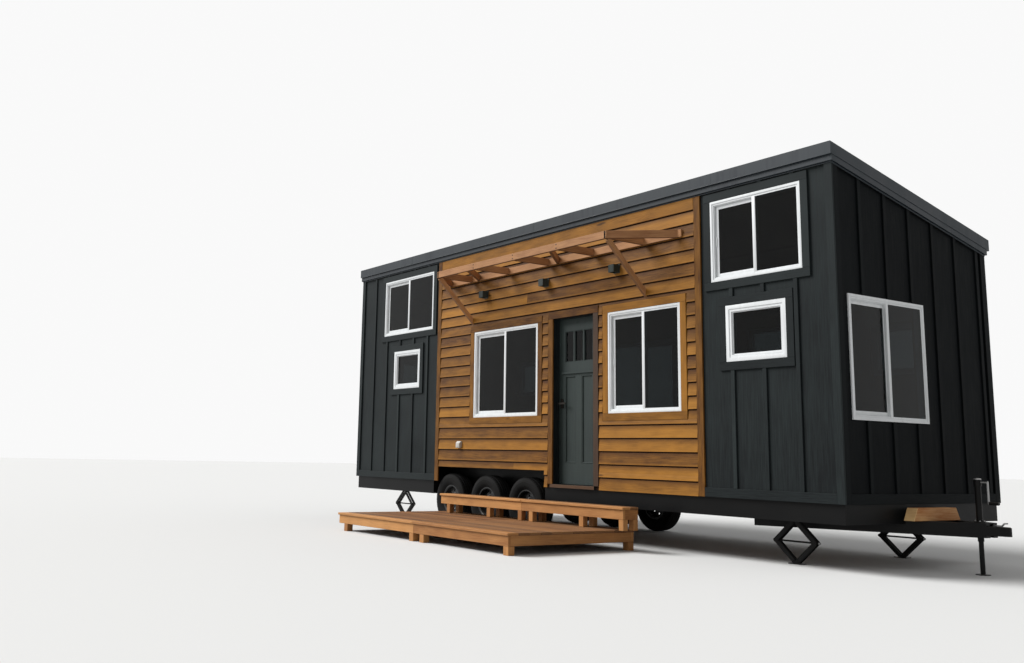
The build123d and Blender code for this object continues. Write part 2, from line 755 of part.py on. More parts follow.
# Trailer frame: headers, main rails, side rails, crossmembers and outriggers
main_front, main_back = front_face + main_rail_inset, back_face - main_rail_inset
with BuildPart() as trailer_frame:
    # Each length stops a fitting gap short of the flanges that it is welded to
    flange_end = rail_width + fitting_gap
    for x, opens in ((wall_left, 1), (wall_right, -1)):
        plane = Plane(origin=(x, wall_back - flange_end, skirt_line), x_dir=(1, 0, 0), z_dir=(0, -1, 0))
        extrude(channel(plane, opens), amount=wall_back - wall_front - 2 * flange_end)
    rail_x0, rail_x1 = wall_left + flange_end, wall_right - flange_end
    rail(rail_x0, rail_x1, main_front, 1)
    rail(rail_x0, rail_x1, main_back, -1)
    # The side rails run past the headers' ends, each closed at the corner by a plate
    for x0, x1, cap in ((wall_left, well_left, wall_left), (well_right, wall_right, wall_right - rail_wall)):
        rail(x0, x1, wall_front, 1)
        rail(x0, x1, wall_back, -1)
        for y in (wall_front, wall_back - rail_width):
            block(cap, cap + rail_wall, y, y + rail_width, frame_bottom, skirt_line)
    member_count = int((rail_x1 - rail_x0) // crossmember_spacing)
    for i in range(member_count):
        x = (rail_x0 + rail_x1) / 2 + (i - (member_count - 1) / 2) * crossmember_spacing
        x0, x1 = x - crossmember_w / 2, x + crossmember_w / 2
        z0, z1 = skirt_line - crossmember_h, skirt_line
        block(x0, x1, main_front + flange_end, main_back - flange_end, z0, z1)
        if x1 < well_left or x0 > well_right:
            block(x0, x1, wall_front + flange_end, main_front - fitting_gap, z0, z1)
            block(x0, x1, main_back + fitting_gap, wall_back - flange_end, z0, z1)
trailer_frame.part.label = "trailer_frame"
export_step(trailer_frame.part, "parts/trailer_frame.step")

# Wheel wells: steel boxes, open to the outside and below, that stand up through the floor
with BuildPart() as wheel_wells:
    for outer, inner in ((wall_front, front_face + well_inner_inset),
                         (wall_back, back_face - well_inner_inset)):
        low_y, high_y = min(outer, inner), max(outer, inner)
        clear_low = low_y if outer == low_y else low_y + well_t
        clear_high = high_y if outer == high_y else high_y - well_t
        block(well_left, well_right, low_y, high_y, frame_bottom, well_top)
        block(well_left + well_t, well_right - well_t, clear_low, clear_high, frame_bottom, well_top - well_t,
              mode=Mode.SUBTRACT)
wheel_wells.part.label = "wheel_wells"
export_step(wheel_wells.part, "parts/wheel_wells.step")

# Axles: a tube under both main rails, its mounting pads, and a spindle into each hub
axle_z = wheel_radius
tyre_middle_front = front_face + tyre_inset + tyre_width / 2
tyre_middle_back = back_face - tyre_inset - tyre_width / 2
axle_xs = [along(middle_axle_from_right) + i * axle_spacing for i in (-1, 0, 1)]
hub_half = bead_width / 2
with BuildPart() as axles:
    for x in axle_xs:
        tube_front = tyre_middle_front + hub_half + axle_setback
        tube_back = tyre_middle_back - hub_half - axle_setback
        with BuildSketch(Plane.XZ.offset(-tube_back)) as tube:
            with Locations((x, axle_z)):
                RectangleRounded(axle_tube, axle_tube, axle_corner_r)
        extrude(tube.sketch, amount=tube_back - tube_front)
        with BuildSketch(Plane.XZ.offset(-tyre_middle_back)) as spindle:
            with Locations((x, axle_z)):
                Circle(spindle_radius)
        extrude(spindle.sketch, amount=tyre_middle_back - tyre_middle_front)
        for y0 in (main_front, main_back - rail_width):
            block(x - axle_tube, x + axle_tube, y0, y0 + rail_width, axle_z, frame_bottom)
axles.part.label = "axles"
export_step(axles.part, "parts/axles.step")


def tyre_profile(plane):
    """Half section of a tyre in (across, up), revolved about the axle: bead, sidewall, shoulder and tread."""
    half = tyre_width / 2
    groove_floor = wheel_radius - groove_d
    right_half = [
        (groove_near, wheel_radius), (groove_near + groove_bevel, groove_floor),
        (groove_far - groove_bevel, groove_floor), (groove_far, wheel_radius),
        (half - tread_in, wheel_radius - tread_drop), (half - shoulder_in, wheel_radius - shoulder_drop),
        (half, rim_radius + sidewall_high), (half - sidewall_taper, rim_radius + sidewall_low),
        (bead_width / 2, rim_radius),
    ]
    left_half = [(-across, up) for across, up in reversed(right_half)]
    with BuildSketch(plane) as section:
        with BuildLine():
            Polyline(*left_half, *right_half, close=True)
        make_face()
    return section.sketch


def rim_profile(plane, out):
    """Half section of a steel rim in (across, up); out is +1 or -1, towards the outside."""
    edge = rim_radius - fitting_gap
    half = bead_width / 2
    bore = spindle_radius + running_gap
    disc_in = disc_out - disc_t
    with BuildSketch(plane) as section:
        with BuildLine():
            Polyline((-half, edge), (half, edge), (half, edge - rim_lip_t),
                     (half - rim_seat_in, edge - rim_seat_d), (half - rim_well_in, edge - rim_well_d),
                     (rim_back_in - half, edge - rim_well_d), (-half, edge - rim_seat_d), close=True)
        make_face()
        with BuildLine():
            Polyline((out * disc_in, edge - disc_root_d), (out * disc_out, edge - disc_dish_d),
                     (out * disc_out, bore), (out * disc_in, bore),
                     (out * disc_in, edge - disc_dish_d - disc_t),
                     (out * (disc_in - disc_t), edge - disc_root_d), close=True)
        make_face()
        with Locations((0, bore)):
            Rectangle(2 * (hub_half - hub_setback), hub_radius - bore, align=(Align.CENTER, Align.MIN))
    return section.sketch


# Wheels: a tyre and a pierced steel rim on each spindle
for side, tyre_middle, out in (("front", tyre_middle_front, -1), ("back", tyre_middle_back, 1)):
    for number, x in enumerate(axle_xs, start=1):
        axle_line = Axis((x, tyre_middle, axle_z), (0, 1, 0))
        wheel_plane = Plane(origin=(x, tyre_middle, axle_z), x_dir=(0, 1, 0), z_dir=(1, 0, 0))
        with BuildPart() as tyre:
            revolve(tyre_profile(wheel_plane), axis=axle_line)
        tyre.part.label = f"{side}_tyre_{number}"
        export_step(tyre.part, f"parts/{side}_tyre_{number}.step")

        with BuildPart() as rim:
            revolve(rim_profile(wheel_plane, out), axis=axle_line)
            disc_plane = Plane(origin=(x, tyre_middle - hub_half, axle_z), x_dir=(1, 0, 0), z_dir=(0, 1, 0))
            with BuildSketch(disc_plane) as holes:
                with PolarLocations(hand_hole_circle, hand_holes):
                    Circle(hand_hole_r)
            extrude(holes.sketch, amount=2 * hub_half, mode=Mode.SUBTRACT)
        rim.part.label = f"{side}_rim_{number}"
        export_step(rim.part, f"parts/{side}_rim_{number}.step")

# Tongue: two beams, notched to run under the front header, that close on the coupler
tongue_top = frame_bottom + tongue_rise
tongue_bottom = tongue_top - tongue_depth
tongue_z = (tongue_top + tongue_bottom) / 2
tongue_tip = right_end + tongue_reach - coupler_length
tongue_slope = (tongue_spread / 2) / tongue_apex
jack_x = right_end + jack_from_end


def tongue_half(x, out=0.0):
    """How far a beam's middle line is from the tongue's own middle at x, plus `out` square to it."""
    return (right_end + tongue_apex - x) * tongue_slope + out * (1 + tongue_slope**2) ** 0.5


with BuildPart() as tongue:
    # The beams' roots lie under the middles of the main rails
    root_x = right_end + tongue_apex - (middle_y - main_front - rail_width / 2) / tongue_slope
    beam_end_x = tongue_tip + tongue_beam_w
    for side in (-1, 1):
        timber((root_x, middle_y + side * tongue_half(root_x), tongue_z),
               (beam_end_x, middle_y + side * tongue_half(beam_end_x), tongue_z), tongue_beam_w, tongue_depth)
    bar_x = right_end + crossbar_reach
    block(bar_x - tongue_beam_w / 2, bar_x + tongue_beam_w / 2, middle_y - tongue_half(bar_x),
          middle_y + tongue_half(bar_x), tongue_bottom, tongue_top)
    # The notch over the stretch that lies under the house's frame
    block(root_x - tongue_beam_w, wall_right, wall_front, wall_back, frame_bottom, tongue_top,
          mode=Mode.SUBTRACT)
    # A flat plate over the beams' meeting carries the jack
    plate_x = tongue_tip - tongue_plate_reach
    with BuildSketch(Plane.XY.offset(tongue_top)) as plate:
        with BuildLine():
            near, far = (tongue_half(x, tongue_beam_w / 2) for x in (tongue_tip, plate_x))
            Polyline((tongue_tip, middle_y - near), (tongue_tip, middle_y + near),
                     (plate_x, middle_y + far), (plate_x, middle_y - far), close=True)
        make_face()
    extrude(plate.sketch, amount=tongue_plate_t)
    split(bisect_by=Plane.YZ.offset(tongue_tip), keep=Keep.BOTTOM)
    with BuildSketch(Plane.XY.offset(tongue_bottom)) as jack_hole:
        with Locations((jack_x, middle_y)):
            Circle(jack_tube_r + running_gap)
    extrude(jack_hole.sketch, amount=tongue_depth + tongue_plate_t, mode=Mode.SUBTRACT)
tongue.part.label = "tongue"
export_step(tongue.part, "parts/tongue.step")

# Coupler: a pressed housing that narrows from the beams to the ball socket at its nose
ball_x = tongue_tip + coupler_length - coupler_w / 2
coupler_bottom = tongue_z - coupler_h / 2
with BuildPart() as coupler:
    with BuildSketch(Plane.XY.offset(coupler_bottom)) as outline:
        with Locations((ball_x, middle_y)):
            Circle(coupler_w / 2)
        with BuildLine():
            root_half = tongue_half(tongue_tip, tongue_beam_w / 2)
            Polyline((tongue_tip, middle_y - root_half), (tongue_tip, middle_y + root_half),
                     (ball_x, middle_y + coupler_w / 2), (ball_x, middle_y - coupler_w / 2), close=True)
        make_face()
    extrude(outline.sketch, amount=coupler_h)
    fillet(coupler.edges().group_by(Axis.Z)[-1], radius=coupler_edge_r)
    with BuildSketch(Plane.XY.offset(coupler_bottom)) as socket:
        with Locations((ball_x, middle_y)):
            Circle(ball_radius)
    extrude(socket.sketch, amount=ball_depth, mode=Mode.SUBTRACT)
coupler.part.label = "coupler"
export_step(coupler.part, "parts/coupler.step")

# Tongue jack: a fixed tube with a flange on the plate, a leg with a foot, and the gear head on top
crank_z = jack_top - jack_head_h / 2
flange_z = tongue_top + tongue_plate_t
with BuildPart() as tongue_jack:
    for radius, low, high in (
        (jack_foot_r, 0, jack_foot_t),
        (jack_leg_r, 0, tongue_bottom),
        (jack_tube_r, tongue_bottom - jack_overlap, jack_top - jack_head_h),
        (jack_flange_r, flange_z, flange_z + jack_flange_t),
        (jack_head_r, jack_top - jack_head_h, jack_top),
    ):
        with BuildSketch(Plane.XY.offset(low)) as disc:
            with Locations((jack_x, middle_y)):
                Circle(radius)
        extrude(disc.sketch, amount=high - low)
    chamfer(tongue_jack.edges().group_by(Axis.Z)[-1], length=jack_top_bevel)
    with BuildSketch(Plane.YZ.offset(jack_x)) as crank_bore:
        with Locations((middle_y, crank_z)):
            Circle(crank_r + running_gap)
    extrude(crank_bore.sketch, amount=jack_head_r + crank_offset, mode=Mode.SUBTRACT)
tongue_jack.part.label = "tongue_jack"
export_step(tongue_jack.part, "parts/tongue_jack.step")

# Crank of the tongue jack: a short shaft, an arm that hangs down and a grip
crank_x = jack_x + jack_head_r + crank_offset
with BuildPart() as jack_crank:
    with BuildSketch(Plane.YZ.offset(jack_x + fitting_gap)) as shaft:
        with Locations((middle_y, crank_z)):
            Circle(crank_r)
    extrude(shaft.sketch, amount=crank_x - jack_x)
    with BuildSketch(Plane.YZ.offset(crank_x)) as arm:
        with Locations((middle_y, crank_z - crank_arm / 2)):
            SlotCenterToCenter(crank_arm, 2 * crank_grip_r, rotation=90)
    extrude(arm.sketch, amount=crank_arm_t)
    with BuildSketch(Plane.YZ.offset(crank_x)) as grip:
        with Locations((middle_y, crank_z - crank_arm)):
            Circle(crank_grip_r)
    extrude(grip.sketch, amount=crank_arm_t + crank_grip)
jack_crank.part.label = "jack_crank"
export_step(jack_crank.part, "parts/jack_crank.step")


def link(plane, start, end, width, thickness):
    """A flat link with round ends between two pivots of a plane's sketch."""
    run = Vector(*end) - Vector(*start)
    middle = (Vector(*start) + Vector(*end)) / 2
    with BuildSketch(plane) as bar:
        with Locations((middle.X, middle.Y)):
            tilt = Vector(1, 0).get_signed_angle(run, Vector(0, 0, 1))
            SlotCenterToCenter(run.length, width, rotation=tilt)
    extrude(bar.sketch, amount=thickness)


def round_bar(plane, centre, radius, length):
    """A round bar that stands on a plane."""
    with BuildSketch(plane) as disc:
        with Locations(centre):
            Circle(radius)
    extrude(disc.sketch, amount=length)


def scissor_jack(x, y):
    """A scissor jack, wound down: two plates, four pairs of arms, their pins and the screw."""
    high = frame_bottom - scissor_plate_t - scissor_pivot_up
    low = scissor_plate_t + scissor_pivot_up
    mid = (high + low) / 2
    half_gap = scissor_gap / 2
    outer = half_gap + scissor_arm_t
    half_l, half_w = scissor_plate_l / 2, scissor_plate_w / 2
    for z in (0, frame_bottom - scissor_plate_t):
        block(x - half_l, x + half_l, y - half_w, y + half_w, z, z + scissor_plate_t)
    block(x - scissor_pivot_out, x + scissor_pivot_out, y - half_gap, y + half_gap, high,
          frame_bottom - scissor_plate_t)
    block(x - scissor_pivot_out, x + scissor_pivot_out, y - half_gap, y + half_gap, scissor_plate_t, low)
    for side in (-1, 1):
        pivot_x, elbow_x = x + side * scissor_pivot_out, x + side * scissor_reach
        for face_y in (y - outer, y + half_gap):
            link(Plane.XZ.offset(-face_y - scissor_arm_t), (pivot_x, high), (elbow_x, mid), scissor_arm_w,
                 scissor_arm_t)
        for face_y in (y - half_gap, y + half_gap - scissor_arm_t):
            link(Plane.XZ.offset(-face_y - scissor_arm_t), (pivot_x, low), (elbow_x, mid), scissor_arm_w,
                 scissor_arm_t)
        for px, pz in ((pivot_x, high), (elbow_x, mid), (pivot_x, low)):
            round_bar(Plane.XZ.offset(-y - outer), (px, pz), scissor_pin_r, 2 * outer)
    round_bar(Plane.YZ.offset(x - scissor_reach - scissor_arm_w), (y, mid), scissor_screw_r,
              2 * (scissor_reach + scissor_arm_w))


# Scissor jacks under the main rails, a pair near each end
rail_middles = (main_front + rail_width / 2, main_back - rail_width / 2)
with BuildPart() as right_scissor_jacks:
    for y in rail_middles:
        scissor_jack(along(scissor_from_end), y)
right_scissor_jacks.part.label = "right_scissor_jacks"
export_step(right_scissor_jacks.part, "parts/right_scissor_jacks.step")

with BuildPart() as left_scissor_jacks:
    for y in rail_middles:
        scissor_jack(left_end + scissor_from_end, y)
left_scissor_jacks.part.label = "left_scissor_jacks"
export_step(left_scissor_jacks.part, "parts/left_scissor_jacks.step")

# Timber block with bevelled ends that lies across the tongue's beams
block_front = front_face + timber_block_front
block_back = block_front + timber_block_length
block_top = tongue_top + timber_block_h
with BuildPart() as timber_block:
    with BuildSketch(Plane.YZ.offset(right_end + timber_block_from_end)) as side:
        with BuildLine():
            Polyline((block_front, tongue_top), (block_back, tongue_top),
                     (block_back - timber_block_bevel, block_top),
                     (block_front + timber_block_bevel, block_top), close=True)
        make_face()
    extrude(side.sketch, amount=timber_block_w)
timber_block.part.label = "timber_block"
export_step(timber_block.part, "parts/timber_block.step")

# Awning: a ledger on the wall, a front beam, rafters, two flared ends and a brace at each end
beam_right = along(awning_beam_from_right)
beam_left = beam_right - awning_beam_length
beam_front = front_face - awning_reach
beam_back = beam_front + awning_t
ledger_front = sheet_front - awning_t
awning_high = skirt_line + awning_top
awning_low = awning_high - awning_depth
awning_z = (awning_high + awning_low) / 2
awning_ends = ((beam_left, -1), (beam_right, 1))
rafter_front, rafter_back = beam_back + fitting_gap, ledger_front - fitting_gap
with BuildPart() as awning:
    # The braces, sawn off flush under the end rafters
    for x, side in awning_ends:
        brace_x = x - side * awning_t / 2
        timber((brace_x, beam_front + awning_t, awning_low),
               (brace_x, sheet_front + awning_t, skirt_line + brace_foot - awning_t), awning_t, brace_depth)
    block(beam_left, beam_right, beam_front, sheet_front, awning_low - fitting_gap, awning_high,
          mode=Mode.SUBTRACT)
    split(bisect_by=Plane.XZ.offset(-sheet_front), keep=Keep.TOP)
    # The splayed ends and the diagonals, cut to the beam, the end rafters and the ledger
    for x, side in awning_ends:
        timber((x - side * awning_t, beam_front, awning_z),
               (x + side * (awning_flare - awning_t), sheet_front, awning_z), awning_t, awning_depth)
    for from_right in awning_back_rafters:
        x = along(from_right)
        timber((x, beam_back, awning_z), (x - awning_back_run, sheet_front, awning_z), awning_t, awning_depth)
    block(beam_left - fitting_gap, beam_right + fitting_gap, beam_front - awning_t, rafter_front,
          awning_low, awning_high, mode=Mode.SUBTRACT)
    block(beam_left - awning_flare, beam_right + awning_flare, rafter_back, sheet_front + awning_t,
          awning_low, awning_high, mode=Mode.SUBTRACT)
    for x, side in awning_ends:
        edge, inner_edge = x + side * fitting_gap, x - side * (awning_t + fitting_gap)
        block(min(edge, inner_edge), max(edge, inner_edge), beam_back, ledger_front, awning_low, awning_high,
              mode=Mode.SUBTRACT)
    split(bisect_by=Plane.XZ.offset(-beam_front), keep=Keep.BOTTOM)
    # The beam, the ledger and the rafters between them
    block(beam_left, beam_right, beam_front, beam_back, awning_low, awning_high)
    block(beam_left - awning_flare, beam_right + awning_flare, ledger_front, sheet_front, awning_low,
          awning_high)
    for i in range(awning_rafters):
        x0 = beam_left + i * (awning_beam_length - awning_t) / (awning_rafters - 1)
        block(x0, x0 + awning_t, rafter_front, rafter_back, awning_low, awning_high)
awning.part.label = "awning"
export_step(awning.part, "parts/awning.step")

# Wall lights: three square lights on the cedar, open above and below
with BuildPart() as wall_lights:
    light_low = skirt_line + light_height - light_size / 2
    light_high = light_low + light_size
    half = light_size / 2
    for from_right in lights_from_right:
        x = along(from_right)
        block(x - half, x + half, front_face - light_size, sheet_front, light_low, light_high)
        for z in (light_low, light_high - light_well):
            block(x - half + light_wall, x + half - light_wall, front_face - light_size + light_wall,
                  front_face - light_wall, z, z + light_well, mode=Mode.SUBTRACT)
wall_lights.part.label = "wall_lights"
export_step(wall_lights.part, "parts/wall_lights.step")

# Outlet box on the cedar, with a sloping cover
with BuildPart() as outlet_box:
    outlet_low = skirt_line + outlet_height - outlet_size / 2
    outlet_high = outlet_low + outlet_size
    outlet_front = front_face - outlet_proud
    with BuildSketch(Plane.YZ.offset(cedar_left + outlet_from_cedar - outlet_size / 2)) as side:
        with BuildLine():
            Polyline((sheet_front, outlet_low), (outlet_front, outlet_low),
                     (outlet_front, outlet_high - outlet_slope), (outlet_front + outlet_slope, outlet_high),
                     (sheet_front, outlet_high), close=True)
        make_face()
    extrude(side.sketch, amount=outlet_size)
outlet_box.part.label = "outlet_box"
export_step(outlet_box.part, "parts/outlet_box.step")


def platform(x0, x1, y0, y1, foot_z, top_z, leg, inner_legs):
    """A timber platform in two modules: a boarded top on rims and joists, with two rows of legs."""
    under = top_z - board_t
    rim_low = under - deck_rim_h
    joint_x = (x0 + x1) / 2
    block(x0 - board_nose, x1 + board_nose, y0 - board_nose, y1, under, top_z)
    for m0, m1 in ((x0, joint_x), (joint_x, x1)):
        with BuildSketch(Plane.XY.offset(rim_low)) as rim_ring:
            with Locations(((m0 + m1) / 2, (y0 + y1) / 2)):
                Rectangle(m1 - m0, y1 - y0)
                Rectangle(m1 - m0 - 2 * rim_t, y1 - y0 - 2 * rim_t, mode=Mode.SUBTRACT)
        extrude(rim_ring.sketch, amount=deck_rim_h)
    for i in range(1, deck_joist_count):
        x = x0 + i * (x1 - x0) / deck_joist_count
        block(x - deck_joist_t / 2, x + deck_joist_t / 2, y0, y1, rim_low, under)
    # In each module one leg is flush with the right end and the others are set in from the left
    for m0, m1 in ((x0, joint_x), (joint_x, x1)):
        for leg_x in (*(m0 + inner - leg / 2 for inner in inner_legs), m1 - leg):
            for leg_y in (y0, y1 - leg):
                block(leg_x, leg_x + leg, leg_y, leg_y + leg, foot_z, rim_low - fitting_gap)


# Entry deck and the long step that stands on it, each in two modules
deck_x1 = along(deck_from_right)
deck_x0 = deck_x1 - deck_length
step_x1 = along(step_from_right)
step_x0 = step_x1 - step_length
with BuildPart() as entry_deck:
    platform(deck_x0, deck_x1, front_face - deck_front + board_nose, front_face - deck_back, 0, deck_top,
             deck_leg, (leg_inset,))
entry_deck.part.label = "entry_deck"
export_step(entry_deck.part, "parts/entry_deck.step")

with BuildPart() as entry_step:
    platform(step_x0, step_x1, front_face - step_front + board_nose, front_face - step_back, deck_top,
             step_top, step_leg, (leg_inset, step_inner_leg))
entry_step.part.label = "entry_step"
export_step(entry_step.part, "parts/entry_step.step")
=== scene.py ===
import math
import random
from contextlib import contextmanager

import bmesh
import bpy
from mathutils import Matrix, Vector


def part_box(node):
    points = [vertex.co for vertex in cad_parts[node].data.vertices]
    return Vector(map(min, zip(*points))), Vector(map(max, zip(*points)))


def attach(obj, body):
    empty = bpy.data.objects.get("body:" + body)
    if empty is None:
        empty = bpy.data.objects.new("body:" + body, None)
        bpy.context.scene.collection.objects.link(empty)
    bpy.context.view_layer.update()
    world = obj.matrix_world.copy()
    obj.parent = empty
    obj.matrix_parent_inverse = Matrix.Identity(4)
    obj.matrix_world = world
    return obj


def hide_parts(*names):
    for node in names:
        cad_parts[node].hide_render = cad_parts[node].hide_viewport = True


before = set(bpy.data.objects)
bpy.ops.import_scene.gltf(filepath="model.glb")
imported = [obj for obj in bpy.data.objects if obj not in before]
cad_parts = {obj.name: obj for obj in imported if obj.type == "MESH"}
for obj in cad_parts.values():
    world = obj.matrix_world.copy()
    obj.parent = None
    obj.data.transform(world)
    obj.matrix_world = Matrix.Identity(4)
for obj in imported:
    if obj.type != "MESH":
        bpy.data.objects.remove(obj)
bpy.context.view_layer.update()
chance = random.Random(11)


# The chassis: channel rails, crossmembers, wheel wells and axle tubes under the floor.
# Welded mild steel, sprayed black, with a little dust on its upper faces.
def put(tree, kind, inputs=None, **settings):
    """Adds a shader node, with its settings and what goes into it."""
    made = tree.nodes.new(kind)
    for key, value in settings.items():
        setattr(made, key, value)
    for key, value in (inputs or {}).items():
        if isinstance(value, bpy.types.NodeSocket):
            tree.links.new(value, made.inputs[key])
        else:
            made.inputs[key].default_value = value
    return made


def fed(kind, inputs, **settings):
    """Adds a node to the tree that its inputs come from, and returns its outputs."""
    tree = next(value.id_data for value in inputs.values() if isinstance(value, bpy.types.NodeSocket))
    return put(tree, kind, inputs, **settings).outputs


def maths(operation, a, b=0.0):
    return fed("ShaderNodeMath", {0: a, 1: b}, operation=operation)[0]


def plus(a, b):
    return maths("ADD", a, b)


def times(a, b):
    return maths("MULTIPLY", a, b)


def blended(share, a, b):
    return fed("ShaderNodeMix", {0: share, 6: a, 7: b}, data_type="RGBA")[2]


def noise(place, scale, detail):
    return fed("ShaderNodeTexNoise", {"Vector": place, "Scale": scale, "Detail": detail})["Fac"]


def ranged(value, low, high, to_low=0.0, to_high=1.0):
    return fed("ShaderNodeMapRange", {0: value, 1: low, 2: high, 3: to_low, 4: to_high})[0]


def place_on(tree):
    """Where a point is on its own object."""
    return put(tree, "ShaderNodeTexCoord").outputs["Object"]


def upward(tree):
    """How far a face looks up, from -1 to 1."""
    normal = put(tree, "ShaderNodeNewGeometry").outputs["Normal"]
    return fed("ShaderNodeSeparateXYZ", {0: normal})[2]


def new_effect(name, colours, amounts=()):
    """A node group that takes colours and then amounts, and gives a colour, a roughness and a height."""
    tree = bpy.data.node_groups.new(name, "ShaderNodeTree")
    for socket in (*colours, *amounts):
        kind = "NodeSocketColor" if socket in colours else "NodeSocketFloat"
        tree.interface.new_socket(socket, in_out="INPUT", socket_type=kind)
    for socket, kind in (("Color", "Color"), ("Roughness", "Float"), ("Height", "Float")):
        tree.interface.new_socket(socket, in_out="OUTPUT", socket_type="NodeSocket" + kind)
    return tree, tree.nodes.new("NodeGroupInput").outputs, tree.nodes.new("NodeGroupOutput").inputs


def give(gives, colour, roughness, height):
    """Joins an effect's results to what its group gives."""
    for name, value in (("Color", colour), ("Roughness", roughness), ("Height", height)):
        value.id_data.links.new(value, gives[name])


def shade(red, green, blue):
    """A colour by its screen values, from 0 to 255."""
    screen = (red / 255, green / 255, blue / 255)
    return (*(v / 12.92 if v <= 0.04045 else ((v + 0.055) / 1.055) ** 2.4 for v in screen), 1.0)


def finish_of(name, effect, *values, bump, specular=0.5, **shader_values):
    """A material whose effect feeds colour, roughness and bump; plain numbers stay on the shader.

    `values` follow the effect's inputs, colours as screen values, the rest 0; `bump` is a strength and a depth.
    """
    finish = bpy.data.materials.new(name)
    finish.use_nodes = True
    tree = finish.node_tree
    shader = tree.nodes["Principled BSDF"]
    tones = [shade(*value) if isinstance(value, tuple) else value for value in values]
    made = put(tree, "ShaderNodeGroup", dict(enumerate(tones)), node_tree=effect)
    strength, depth = bump
    relief = put(tree, "ShaderNodeBump", {"Height": made.outputs["Height"], "Strength": strength, "Distance": depth})
    tree.links.new(made.outputs["Color"], shader.inputs["Base Color"])
    tree.links.new(made.outputs["Roughness"], shader.inputs["Roughness"])
    tree.links.new(relief.outputs[0], shader.inputs["Normal"])
    for key, value in {"Specular_IOR_Level": specular, **shader_values}.items():
        shader.inputs[key.replace("_", " ")].default_value = value
    return finish


def dress(finish, *names):
    """Gives CAD nodes their finish."""
    for name in names:
        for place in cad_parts[name].material_slots:
            place.material = finish


coated_steel, given, gives = new_effect("coated_steel", ("Paint",), ("Dust amount", "Worn amount"))
road_dust, worn_metal = shade(128, 118, 104), shade(96, 72, 44)
place = place_on(coated_steel)
clouds, specks = noise(place, 2.6, 5.0), noise(place, 46.0, 4.0)
facing_up = ranged(plus(upward(coated_steel), times(clouds, 0.6)), 0.5, 1.3, 0.12, 1.0)
dusty = times(times(facing_up, given["Dust amount"]), ranged(clouds, 0.3, 0.7, 0.4, 1.0))
worn = times(ranged(plus(specks, times(clouds, 0.5)), 0.86, 0.94), given["Worn amount"])
coat = blended(worn, blended(dusty, given["Paint"], road_dust), worn_metal)
rough = plus(times(plus(dusty, worn), 0.35), ranged(clouds, 0.2, 0.8, 0.32, 0.5))
give(gives, coat, rough, plus(specks, times(worn, 0.8)))

sprayed = (12, 13, 14)
chassis_black = finish_of("chassis_black", coated_steel, sprayed, 0.07, bump=(0.25, 0.0006), specular=0.1)
dress(chassis_black, "trailer_frame", "wheel_wells", "axles")


# The tongue: two rails that close on the coupler, with the jack's flange bolted to their plate.
# The same black steel; the latch, the bolts, the cap and the crank are zinc plated, the grip is black.
@contextmanager
def editing():
    """Works on the active piece in edit mode."""
    bpy.ops.object.mode_set(mode="EDIT")
    yield
    bpy.ops.object.mode_set(mode="OBJECT")


def pick(test, kind):
    """In edit mode, selects only the faces, edges or points that pass a test on their middle and direction."""
    bpy.ops.mesh.select_mode(type=kind)
    bpy.ops.mesh.select_all(action="DESELECT")
    mesh = bmesh.from_edit_mesh(bpy.context.edit_object.data)
    if kind == "FACE":
        found = [face for face in mesh.faces if test(face.calc_center_median(), face.normal)]
    elif kind == "EDGE":
        ends = [(edge, edge.verts[0].co, edge.verts[1].co) for edge in mesh.edges]
        found = [edge for edge, a, b in ends if test((a + b) / 2, (b - a).normalized())]
    else:
        found = [point for point in mesh.verts if test(point.co, point.normal)]
    for part in found:
        part.select_set(True)
    mesh.select_flush_mode()
    bmesh.update_edit_mesh(bpy.context.edit_object.data)


def capped(sides, radius, low, height, rim, rise):
    """An upright prism on the Z axis, its top face drawn in and raised."""
    middle = (0, 0, low + height / 2)
    bpy.ops.mesh.primitive_cylinder_add(vertices=sides, radius=radius, depth=height, location=middle)
    bpy.ops.object.transform_apply()
    with editing():
        pick(lambda m, n: n.z > 0.5, "FACE")
        bpy.ops.mesh.inset(thickness=rim)
        bpy.ops.transform.translate(value=(0, 0, rise))
    return bpy.context.object


def hex_head(seat, axis, radius, height):
    """A hexagon bolt head or nut, chamfered on top, with its washer; `axis` points out of the face."""
    washer_t = 0.002
    head = capped(6, radius, washer_t, height, radius * 0.16, radius * 0.12)
    nut = capped(16, radius * 1.35, 0, washer_t, radius * 0.08, 0.0005)
    head.select_set(True)
    bpy.ops.object.join()
    nut.data.transform(Matrix.Translation(seat) @ Vector(axis).to_track_quat("Z", "Y").to_matrix().to_4x4())
    return nut


def turned(profile, steps, seat=Matrix(), closed=False):
    """A piece turned about a line along Y and then seated: `profile` is (along Y, out from the line) points."""
    bpy.ops.mesh.primitive_plane_add(size=0.001, location=(0, 0, 0))
    piece = bpy.context.object
    ends = [*profile, profile[0]] if closed else profile
    with editing():
        bpy.ops.mesh.select_mode(type="VERT")
        bpy.ops.mesh.merge(type="CENTER")
        bpy.ops.transform.translate(value=(0, *profile[0]))
        for (y0, z0), (y1, z1) in zip(ends, ends[1:]):
            bpy.ops.mesh.extrude_vertices_move(TRANSFORM_OT_translate={"value": (0, y1 - y0, z1 - z0)})
        bpy.ops.mesh.select_all(action="SELECT")
        bpy.ops.mesh.spin(steps=steps, angle=math.tau, center=(0, 0, 0), axis=(0, 1, 0))
        bpy.ops.mesh.select_all(action="SELECT")
        bpy.ops.mesh.remove_doubles(threshold=1e-5)
        bpy.ops.mesh.normals_make_consistent(inside=False)
    piece.data.transform(seat)
    return piece


def cuboid(x, y, z):
    """A plain block between pairs of sides."""
    bpy.ops.mesh.primitive_cube_add(size=1, location=[(a + b) / 2 for a, b in (x, y, z)])
    piece = bpy.context.object
    piece.scale = [b - a for a, b in (x, y, z)]
    bpy.ops.object.transform_apply()
    return piece


